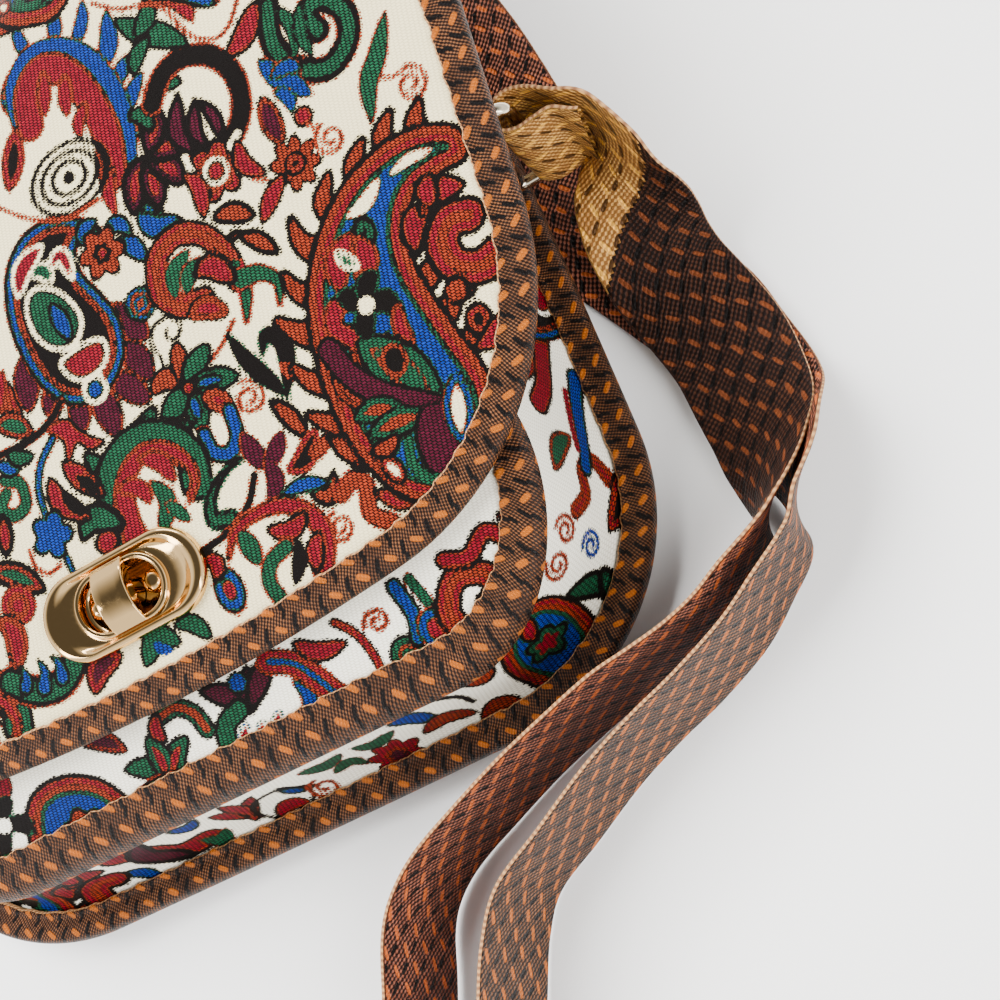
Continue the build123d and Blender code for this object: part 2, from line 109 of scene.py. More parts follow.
def runOf(curve):
    # the length run along a polyline at each of its points: the sum of the steps so far
    return np.concatenate([[0], np.cumsum(np.linalg.norm(np.diff(curve, axis=0), axis=1))])


def resample(curve, shares):
    # points of a polyline at shares of its length
    run = runOf(curve)
    return np.stack([np.interp(np.asarray(shares) * run[-1], run, column) for column in curve.T], -1)


def smoothCurve(points, steps, closed=False):
    # a cubic through all points: each span blends its two ends and their neighbours
    points = np.asarray(points, float)
    if closed:
        padded = np.concatenate([points[-1:], points, points[:2]])
    else:
        padded = np.concatenate([2 * points[:1] - points[1:2], points, 2 * points[-1:] - points[-2:-1]])
    a, b, c, d = (padded[i:len(padded) - 3 + i, None] for i in range(4))
    t = (np.arange(steps) / steps)[None, :, None]
    curve = b + t * ((c - a) / 2 + t * (a - 2.5 * b + 2 * c - d / 2 + t * (1.5 * (b - c) + (d - a) / 2)))
    curve = curve.reshape(-1, points.shape[1])
    return curve if closed else np.concatenate([curve, points[-1:]])


def mirrored(curve):
    # x changes its sign
    return curve * np.array([-1.0, 1.0])


def patch(low, right, high, alongShares, upShares):
    # three edge curves and the right one mirrored, filled in: both rulings added and the corners' bilinear
    # blend taken off
    left = mirrored(right)
    a, b = alongShares[None, :, None], upShares[:, None, None]
    lowLine, highLine = resample(low, alongShares)[None], resample(high, alongShares)[None]
    leftLine, rightLine = resample(left, upShares)[:, None], resample(right, upShares)[:, None]
    corners = (1 - a) * (1 - b) * low[0] + a * (1 - b) * low[-1] + (1 - a) * b * high[0] + a * b * high[-1]
    return (1 - b) * lowLine + b * highLine + (1 - a) * leftLine + a * rightLine - corners


def gridQuads(rows, columns, closeRows=False, closeColumns=False):
    # each quad goes from a point to the next column, to the next row there, and back; closed ends wrap
    r = np.arange(rows if closeRows else rows - 1)[:, None]
    c = np.arange(columns if closeColumns else columns - 1)[None]
    r1, c1 = (r + 1) % rows, (c + 1) % columns
    return np.stack([r * columns + c, r * columns + c1, r1 * columns + c1, r1 * columns + c],
                    -1).reshape(-1, 4)


def makePiece(name, points, quads, body, materials, uv=None, layers=None, faceSlots=None,
              replaces=()):
    # one mesh: lengths over 1000, each corner takes the map of its point, each face the material of its slot
    mesh = bpy.data.meshes.new(name)
    mesh.from_pydata((np.asarray(points).reshape(-1, 3) / 1000).tolist(), [], np.asarray(quads).tolist())
    loops = np.zeros(len(mesh.loops), np.int32)
    mesh.loops.foreach_get("vertex_index", loops)
    if uv is not None:
        layer = mesh.uv_layers.new(name="clothMap")
        layer.data.foreach_set("uv", np.asarray(uv, np.float32).reshape(-1, 2)[loops].ravel())
    for layerName, values in (layers or {}).items():
        attribute = mesh.attributes.new(layerName, "FLOAT_COLOR", "POINT")
        attribute.data.foreach_set("color", np.asarray(values, np.float32).ravel())
    for material in materials:
        mesh.materials.append(material)
    if faceSlots is not None:
        mesh.polygons.foreach_set("material_index", np.asarray(faceSlots, np.int32))
    mesh.shade_smooth()
    mesh.update()
    piece = bpy.data.objects.new(name, mesh)
    bpy.context.scene.collection.objects.link(piece)
    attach(piece, body)
    if replaces:
        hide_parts(*replaces)
    return piece


def joined(parts):
    # several (points, quads) grids as one list of points and one of quads
    points = [np.reshape(part[0], (-1, 3)) for part in parts]
    starts = np.cumsum([0] + [len(part) for part in points])
    return np.concatenate(points), np.concatenate([part[1] + start for part, start in zip(parts, starts)])


def linear(hexColour):
    # sRGB hex to the linear values that a shader takes
    value = np.array([int(hexColour[i:i + 2], 16) / 255 for i in (1, 3, 5)])
    value = np.where(value <= 0.04045, value / 12.92, ((value + 0.055) / 1.055) ** 2.4)
    return (*value.tolist(), 1.0)


def addNode(tree, kind, settings=None, links=None):
    # a node whose settings are constants of its sockets or else properties; links lead into its sockets, from
    # a socket or from the first one of a node
    node = tree.nodes.new("ShaderNode" + kind)
    for key, value in (settings or {}).items():
        if isinstance(key, int) or key in node.inputs:
            node.inputs[key].default_value = value
        else:
            setattr(node, key, value)
    for key, source in (links or {}).items():
        tree.links.new(getattr(source, "outputs", [source])[0], node.inputs[key])
    return node


def newMaterial(name):
    # a material, its node tree and the shader in it
    material = bpy.data.materials.new(name)
    material.use_nodes = True
    return material, material.node_tree, material.node_tree.nodes["Principled BSDF"]


threads = ["red", "rust", "blue", "green", "maroon", "figure"]

# Jacquard cloth: polyester floats over a smooth cream ground. Inside a figure the black warp shows between
# the dyed floats, so figures look grainy, and their edges step from row to row like a comb. A float is about
# 1.05 by 0.6 mm.
jacquard = {"float": 1.05, "row": 0.6, "ends": 0.55, "gap": 0.1, "tilt": -4.0, "slant": 0.55,
            "stagger": 0.34, "comb": 0.34, "soft": 0.1, "warp": "#0b0807", "groundThread": "#a3966f",
            "groundShare": 0.42, "tone": (0.66, 1.16), "wear": (0.93, 1.0), "rise": (0.15, 0.75),
            "bump": (0.6, 0.00025), "specular": 0.12,
            "dyes": {"red": "#7c031c", "rust": "#892a10", "blue": "#042b82", "green": "#10482e",
                     "maroon": "#420a1d"}, "rims": {"red": ("rust", 0.3), "blue": ("green", 0.2)}}


def jacquardMaterial(name, ground, rough):
    # ground, warp and dyes are mixed one over the other, each by a mask that falls from 1 to 0 over its edge
    material, tree, shader = newMaterial(name)
    soft = jacquard["soft"]
    place = addNode(tree, "UVMap", {"uv_map": "clothMap"})
    # rows of floats run along the tilt, a float's ends slant with the twill, and its length is drawn in
    # to make the gaps at its ends wide
    along = turned(np.radians(-jacquard["tilt"]))
    up = turned(np.radians(90 - jacquard["tilt"]))
    ways = [addNode(tree, "VectorMath", {"operation": "DOT_PRODUCT", 1: (*way, 0)}, {0: place})
            for way in (jacquard["ends"] * (along + jacquard["slant"] * up), up)]
    turn = addNode(tree, "CombineXYZ", None, {0: ways[0].outputs["Value"], 1: ways[1].outputs["Value"]})
    floats = addNode(tree, "TexBrick", {"Color1": (0, 0, 0, 1), "Color2": (1, 1, 1, 1),
                                        "Mortar": (0.5, 0.5, 0.5, 1), "Scale": 1.0, "Bias": 0.0,
                                        "Mortar Size": jacquard["gap"], "Mortar Smooth": 0.55,
                                        "Brick Width": jacquard["ends"] * jacquard["float"],
                                        "Row Height": jacquard["row"]}, {"Vector": turn})
    gap = floats.outputs["Fac"]
    stagger = addNode(tree, "Math",
                      {"operation": "MULTIPLY_ADD", 1: jacquard["stagger"], 2: -jacquard["stagger"] / 2},
                      {0: floats.outputs["Color"]})
    comb = addNode(tree, "Math", {"operation": "MULTIPLY_ADD", 1: jacquard["comb"]},
                   {0: gap, 2: stagger})
    fields = []
    for layerName in ("dyeFirst", "dyeSecond"):
        layer = addNode(tree, "Attribute", {"attribute_name": layerName})
        split = addNode(tree, "SeparateColor", None, {0: layer.outputs["Color"]})
        fields += list(split.outputs)
    # the figure's black warp first, then each dye on the floats alone
    edge = addNode(tree, "Math", {"operation": "ADD"}, {0: fields[-1], 1: comb})
    figureMask = addNode(tree, "MapRange", {"From Min": -soft, "From Max": soft, "To Min": 1.0,
                                            "To Max": 0.0}, {"Value": edge}).outputs[0]
    thin = addNode(tree, "Math", {"operation": "MULTIPLY", 1: jacquard["groundShare"]}, {0: gap})
    faint = addNode(tree, "Mix", {"data_type": "RGBA", 6: linear(ground),
                                  7: linear(jacquard["groundThread"])}, {0: thin})
    colour = addNode(tree, "Mix", {"data_type": "RGBA", 7: linear(jacquard["warp"])},
                     {0: figureMask, 6: faint.outputs[2]}).outputs[2]
    tone = addNode(tree, "MapRange", {"To Min": jacquard["tone"][0], "To Max": jacquard["tone"][1]},
                   {"Value": floats.outputs["Color"]})
    onFloat = addNode(tree, "MapRange", {"From Min": 0.05, "From Max": 0.6, "To Min": 1.0, "To Max": 0.0},
                      {"Value": gap})
    # a dye with a rim is laid twice: in the rim's colour to its edge, then in its own a little further in
    coats = []
    for dye, field in zip(threads[:-1], fields):
        rim, depth = jacquard["rims"].get(dye, (dye, 0.0))
        coats += [(rim, 0.0, field), (dye, depth, field)][depth == 0:]
    for dye, depth, field in coats:
        edge = addNode(tree, "Math", {"operation": "ADD"}, {0: field, 1: stagger})
        mask = addNode(tree, "MapRange", {"From Min": -soft - depth, "From Max": soft - depth,
                                          "To Max": 0.0}, {"Value": edge, "To Min": onFloat})
        dyed = addNode(tree, "Mix", {"data_type": "RGBA", "blend_type": "MULTIPLY", 0: 1.0,
                                     6: linear(jacquard["dyes"][dye])}, {7: tone})
        colour = addNode(tree, "Mix", {"data_type": "RGBA"},
                         {0: mask, 6: colour, 7: dyed.outputs[2]}).outputs[2]
    cloud = addNode(tree, "TexNoise", {"Scale": 0.06, "Detail": 3.0}, {"Vector": place})
    wear = addNode(tree, "MapRange", {"From Min": 0.3, "From Max": 0.7, "To Min": jacquard["wear"][0],
                                      "To Max": jacquard["wear"][1]}, {"Value": cloud})
    aged = addNode(tree, "Mix", {"data_type": "RGBA", "blend_type": "MULTIPLY", 0: 1.0},
                   {6: colour, 7: wear})
    rise = addNode(tree, "Math", {"operation": "MULTIPLY_ADD", 1: jacquard["rise"][1],
                                  2: jacquard["rise"][0]}, {0: figureMask})
    relief = addNode(tree, "Math", {"operation": "MULTIPLY"}, {0: rise, 1: onFloat})
    bump = addNode(tree, "Bump", {"Strength": jacquard["bump"][0], "Distance": jacquard["bump"][1]},
                   {"Height": relief})
    tree.links.new(aged.outputs[2], shader.inputs["Base Color"])
    tree.links.new(bump.outputs[0], shader.inputs["Normal"])
    shader.inputs["Roughness"].default_value = rough
    shader.inputs["Specular IOR Level"].default_value = jacquard["specular"]
    return material


# Ribbon: a leno-like mesh of brown and tan threads, with satin floats of orange and black on a lattice. The
# mesh pitch, about 0.7 mm on the bindings and 1.05 mm on the strap, shows as a fine grid, and the floats as
# bright and dark dashes that sway a little.
bindingWeave = {"mesh": (0.74, 0.66), "meshTurn": (38.0, -62.0), "lattice": (7.0, 1.25, 4.4), "sway": 0.9,
                "dark": ({"place": (0.47, 0.1), "turn": -62.0, "half": (1.6, 0.5)},
                         {"place": (0.62, 0.62), "turn": -62.0, "half": (1.15, 0.42)}),
                "bright": ({"place": (0.0, 0.0), "turn": 38.0, "half": (1.4, 0.66)},)}
strapWeave = {"mesh": (1.1, 1.0), "meshTurn": (30.0, -52.0), "lattice": (7.6, 3.8, 3.4), "sway": 1.2,
              "dark": ({"place": (0.45, 0.2), "turn": -40.0, "half": (1.5, 0.52)},),
              "bright": ({"place": (0.0, 0.0), "turn": 24.0, "half": (1.6, 0.55)},)}
ribbonLook = {"threadFrom": (-0.35, 1.1), "dashEdge": (0.6, 1.25), "dashPower": (5.0, 2.0),
              "gleam": (0.5, 1.15), "dashRise": 0.9, "bump": (0.75, 0.0003), "specular": 0.2}


def ribbonMaterial(name, ribbon, hole, thread, bright, dark, rough):
    # the mesh is a sum of two sines; a dash is where powers of the reach along and across it add to under one
    material, tree, shader = newMaterial(name)
    flat = addNode(tree, "UVMap", {"uv_map": "clothMap"})
    drift = addNode(tree, "TexNoise", {"Scale": 0.16, "Detail": 1.0}, {"Vector": flat})
    place = addNode(tree, "VectorMath", {"operation": "MULTIPLY_ADD", 1: (ribbon["sway"],) * 3},
                    {0: drift.outputs["Color"], 2: flat})
    waves = []
    for pitch, turn in zip(ribbon["mesh"], ribbon["meshTurn"]):
        across = 2 * math.pi / pitch * turned(np.radians(turn + 90))
        phase = addNode(tree, "VectorMath", {"operation": "DOT_PRODUCT", 1: (*across, 0)},
                        {0: place})
        waves.append(addNode(tree, "Math", {"operation": "SINE"}, {0: phase.outputs["Value"]}))
    weaveHeight = addNode(tree, "Math", {"operation": "MULTIPLY_ADD", 1: 0.7},
                          {0: waves[0], 2: waves[1]})
    threadMask = addNode(tree, "MapRange", {"From Min": ribbonLook["threadFrom"][0],
                                            "From Max": ribbonLook["threadFrom"][1]},
                         {"Value": weaveHeight})
    cloud = addNode(tree, "TexNoise", {"Scale": 0.13, "Detail": 3.0}, {"Vector": flat})
    patchy = addNode(tree, "MapRange", {"From Min": 0.36, "From Max": 0.64}, {"Value": cloud})
    fleck = addNode(tree, "Mix", {"data_type": "RGBA", 6: linear(thread[0]), 7: linear(thread[1])},
                    {0: patchy})
    mesh = addNode(tree, "Mix", {"data_type": "RGBA", 6: linear(hole)},
                   {0: threadMask, 7: fleck.outputs[2]})
    colour, height = mesh.outputs[2], threadMask.outputs[0]
    # lattice cells: the place in each cell from its middle, in shares of the two lattice steps
    stepU, shiftU, stepW = ribbon["lattice"]
    cellU = addNode(tree, "VectorMath",
                    {"operation": "DOT_PRODUCT", 1: (1 / stepU, -shiftU / (stepU * stepW), 0)}, {0: place})
    cellW = addNode(tree, "VectorMath", {"operation": "DOT_PRODUCT", 1: (0, 1 / stepW, 0)},
                    {0: place})
    cell = addNode(tree, "CombineXYZ", None, {0: cellU.outputs["Value"], 1: cellW.outputs["Value"]})
    dashes = [(dash, dark) for dash in ribbon["dark"]]
    dashes += [(dash, bright) for dash in ribbon["bright"]]
    for dash, hexColour in dashes:
        moved = addNode(tree, "VectorMath", {"operation": "ADD", 1: (*dash["place"], 0)}, {0: cell})
        part = addNode(tree, "VectorMath", {"operation": "FRACTION"}, {0: moved})
        middle = addNode(tree, "VectorMath", {"operation": "SUBTRACT", 1: (0.5, 0.5, 0)}, {0: part})
        powers = []
        turns = (dash["turn"], dash["turn"] + 90)
        for turn, half, power in zip(turns, dash["half"], ribbonLook["dashPower"]):
            way = turned(np.radians(turn)) / half
            slope = (stepU * way[0], shiftU * way[0] + stepW * way[1], 0)
            reach = addNode(tree, "VectorMath", {"operation": "DOT_PRODUCT", 1: slope}, {0: middle})
            size = addNode(tree, "Math", {"operation": "ABSOLUTE"}, {0: reach.outputs["Value"]})
            powers.append(addNode(tree, "Math", {"operation": "POWER", 1: power}, {0: size}))
        total = addNode(tree, "Math", {"operation": "ADD"}, {0: powers[0], 1: powers[1]})
        full, none = ribbonLook["dashEdge"]
        mask = addNode(tree, "MapRange", {"From Min": full, "From Max": none, "To Min": 1.0, "To Max": 0.0},
                       {"Value": total})
        # a float is darker over the gaps of the mesh, so the fine thread shows in it
        gleam = addNode(tree, "MapRange", {"To Min": ribbonLook["gleam"][0],
                                           "To Max": ribbonLook["gleam"][1]}, {"Value": threadMask})
        tone = addNode(tree, "Mix",
                       {"data_type": "RGBA", "blend_type": "MULTIPLY", 0: 0.6, 6: linear(hexColour)},
                       {7: gleam})
        colour = addNode(tree, "Mix", {"data_type": "RGBA"},
                         {0: mask, 6: colour, 7: tone.outputs[2]}).outputs[2]
        height = addNode(tree, "Math", {"operation": "MULTIPLY_ADD", 1: ribbonLook["dashRise"]},
                         {0: mask, 2: height}).outputs[0]
    bump = addNode(tree, "Bump", {"Strength": ribbonLook["bump"][0], "Distance": ribbonLook["bump"][1]},
                   {"Height": height})
    tree.links.new(colour, shader.inputs["Base Color"])
    tree.links.new(bump.outputs[0], shader.inputs["Normal"])
    shader.inputs["Roughness"].default_value = rough
    shader.inputs["Specular IOR Level"].default_value = ribbonLook["specular"]
    return material


# Plated metal: polished zinc under thin plate, a mirror with faint rubbing marks that widen the highlights.
def platedMaterial(name, colour, smooth, rubbed):
    # roughness goes from smooth to rubbed with a fine noise
    material, tree, shader = newMaterial(name)
    place = addNode(tree, "TexCoord")
    rub = addNode(tree, "TexNoise", {"Scale": 900.0, "Detail": 4.0, "Roughness": 0.6},
                  {"Vector": place.outputs["Object"]})
    rough = addNode(tree, "MapRange", {"From Min": 0.35, "From Max": 0.75, "To Min": smooth,
                                       "To Max": rubbed}, {"Value": rub})
    tree.links.new(rough.outputs[0], shader.inputs["Roughness"])
    shader.inputs["Base Color"].default_value = linear(colour)
    shader.inputs["Metallic"].default_value = 1.0
    return material


# Twill: plain cotton or selvedge thread, matt, with a fine diagonal rib of about 0.9 mm.
def twillMaterial(name, colour, shade):
    # the colour goes from shade to full with a sine across the rib
    material, tree, shader = newMaterial(name)
    place = addNode(tree, "UVMap", {"uv_map": "clothMap"})
    phase = addNode(tree, "VectorMath", {"operation": "DOT_PRODUCT", 1: (5.0, 4.9, 0)}, {0: place})
    rib = addNode(tree, "Math", {"operation": "SINE"}, {0: phase.outputs["Value"]})
    mix = addNode(tree, "MapRange", {"From Min": -1.0, "From Max": 1.0}, {"Value": rib})
    tone = addNode(tree, "Mix", {"data_type": "RGBA", 6: linear(shade), 7: linear(colour)}, {0: mix})
    bump = addNode(tree, "Bump", {"Strength": 0.4, "Distance": 0.0002}, {"Height": rib})
    tree.links.new(tone.outputs[2], shader.inputs["Base Color"])
    tree.links.new(bump.outputs[0], shader.inputs["Normal"])
    shader.inputs["Roughness"].default_value = 0.85
    return material


paisleyCloth = jacquardMaterial("paisleyJacquard", "#e6d8a9", 0.62)
# painted light: a copy of the cloth whose whiter ground stands in for the light that falls on the front and
# the gusset
paintedLightCloth = jacquardMaterial("paisleyJacquardPaintedLight", "#f0ecdc", 0.5)
ribbonCloth = ribbonMaterial("ribbonFace", bindingWeave, "#160d09", ("#714629", "#50311e"), "#a35511",
                             "#0b0706", 0.5)
strapGold = ribbonMaterial("ribbonStrapFace", strapWeave, "#120b07", ("#74492c", "#54331e"), "#a9581a",
                           "#0b0706", 0.5)
strapRed = ribbonMaterial("ribbonStrapReverse", strapWeave, "#1c0d09", ("#a3624b", "#7a4432"), "#c4612b",
                          "#0c0806", 0.5)
# painted light: a brighter golden copy of the strap ribbon for the lit arch by the ring
ribbonPaintedLight = ribbonMaterial("ribbonGoldPaintedLight", strapWeave, "#7d5226", ("#d6a45c", "#b07c40"), "#f2b04a",
                             "#4a2f14", 0.42)
# painted shade: a dark copy of the strap ribbon for the stretch that lies in shade, laid on both its faces
ribbonPaintedShade = ribbonMaterial("ribbonPaintedShade", strapWeave, "#120a08", ("#402417", "#301a11"), "#683419",
                            "#0b0706", 0.6)
# selvedge thread; on the strap's upper edge its pale tan is also a painted highlight
selvedgeAndGleam = twillMaterial("ribbonSelvedgeAndGleam", "#b78a5a", "#7a5034")
liningCloth = twillMaterial("cottonLining", "#96805f", "#7b674b")
goldPlate = platedMaterial("goldPlatedZinc", "#e9c083", 0.06, 0.15)
ringSteel = platedMaterial("palePlatedWire", "#d8ccb4", 0.12, 0.24)
print("materials ready")


# Woven figures of the cloth as signed distances in millimetres, below zero inside.
# A shape is its box's two corners and a function of points.
farAway = 6.0
reachRound = 2.5
outline, loneLine = 0.26, 0.16


def nearLine(line, halfWidth):
    # distance to the nearest span of a line, less the half width there
    def distance(p):
        start, step = line[None, :-1], np.diff(line, axis=0)[None]
        t = np.clip(((p[:, None] - start) * step).sum(-1) / (step ** 2).sum(-1), 0, 1)
        gap = np.linalg.norm(p[:, None] - start - t[..., None] * step, axis=-1)
        return (gap - halfWidth[:-1] - t * np.diff(halfWidth)).min(1)
    return line.min(0) - halfWidth.max(), line.max(0) + halfWidth.max(), distance


def drawnLine(numbers, closed=False):
    # a smooth line through x, v pairs, and the share of its length at each point
    line = smoothCurve(np.reshape(numbers, (-1, 2)), 6, closed)
    line = np.concatenate([line, line[:1]]) if closed else line
    return line, runOf(line) / runOf(line)[-1]


def leaf(width, *numbers):
    # pointed at both ends: the width follows a power of a half sine
    line, t = drawnLine(numbers)
    return nearLine(line, width * np.sin(math.pi * np.clip(t, 0.01, 0.99)) ** 0.75)


def thorn(width, *numbers):
    # full at its root, pointed at its tip: the width falls by a power of the share left
    line, t = drawnLine(numbers)
    return nearLine(line, width * (1 - 0.93 * t) ** 0.8)


def stem(width, *numbers):
    # the same width all along
    line = drawnLine(numbers)[0]
    return nearLine(line, np.full(len(line), width))


def blob(*numbers):
    # a closed line: its sign comes from how often a ray to the right crosses it
    line = drawnLine(numbers, closed=True)[0]
    low, high, edgeDistance = nearLine(line, np.zeros(len(line)))

    def distance(p):
        a, b = line[:-1], line[1:]
        x, v = p[:, :1], p[:, 1:]
        crossed = (a[:, 1] > v) != (b[:, 1] > v)
        slope = (b[:, 0] - a[:, 0]) / np.where(b[:, 1] == a[:, 1], 1e-9, b[:, 1] - a[:, 1])
        inside = (crossed & (a[:, 0] + (v - a[:, 1]) * slope > x)).sum(1) % 2 == 1
        return np.where(inside, -1, 1) * edgeDistance(p)
    return low, high, distance


def disc(x, v, wide, tall=None):
    # an ellipse: the length in shares of its two radii, less one, times the lesser radius
    middle, reach = np.array([x, v]), np.array([wide, tall or wide])

    def distance(p):
        return (np.linalg.norm((p - middle) / reach, axis=1) - 1) * reach.min()
    return middle - reach, middle + reach, distance


def hoop(width, x, v, wide, tall):
    # a line along an ellipse's edge
    low, high, distance = disc(x, v, wide, tall)
    return low - width, high + width, lambda p: np.abs(distance(p)) - width


def petals(x, v, radius, count, turn=0.0):
    # a disc whose radius waves with the angle, once for each petal
    middle = np.array([x, v])

    def distance(p):
        way = p - middle
        wave = np.abs(np.sin(count / 2 * (np.arctan2(way[:, 1], way[:, 0]) - turn)))
        return np.linalg.norm(way, axis=1) - radius * (0.62 + 0.38 * wave)
    return middle - radius, middle + radius, distance


def curl(width, x, v, radius, start, turns):
    # a spiral that winds in; turns below zero wind clockwise
    t = np.linspace(0, 1, int(16 * abs(turns)) + 4)
    angle = math.radians(start) + 2 * math.pi * turns * t
    line = np.array([x, v]) + (radius * (1 - 0.78 * t))[:, None] * turned(angle)
    return nearLine(line, np.full(len(line), width))


def figure(shape, colours):
    # colours are laid one over the other, each on the shape grown by so many millimetres;
    # a black outline and a line of one colour grow by a little more, to hold a row of floats
    words = colours.split()
    grown = [float(word) for word in words[1::2]]
    grown[0] += loneLine if len(words) == 2 else outline if words[0] == "black" else 0
    return (*shape, list(zip(words[::2], grown)))


def drawn(*table):
    # one figure for each row of a shape's numbers, in the order of the table
    return [figure(shape(*row), colours) for shape, colours, *rows in table for row in rows]


def weave(fields, points, drawing, move=(0, 0), taken=None):
    # each colour cuts its grown shape out of all fields by the greater of two distances, then adds it to its
    # own field and to the figure's by the lesser; black has no field of its own, and cream only cuts
    p = points - move
    for low, high, distance, colours in drawing:
        middle = (low + high) / 2 + move
        near = ((p > low - reachRound) & (p < high + reachRound)).all(1).nonzero()[0]
        if len(near) == 0 or (taken and taken(middle)):
            continue
        gap, part = distance(p[near]), fields[near]
        for dye, grow in colours:
            under = part
            part = np.maximum(part, (grow - gap)[:, None])
            for name in ([] if dye == "cream" else [dye, "figure"]):
                if name in threads:
                    k = threads.index(name)
                    part[:, k] = np.minimum(under[:, k], gap - grow)
        fields[near] = part


redLeaf, darkLeaf, vine = "black .6 red 0", "black .3 rust -.8", "rust .1"
greenLeaf, blueLeaf = "black .7 green 0", "black .6 blue 0"

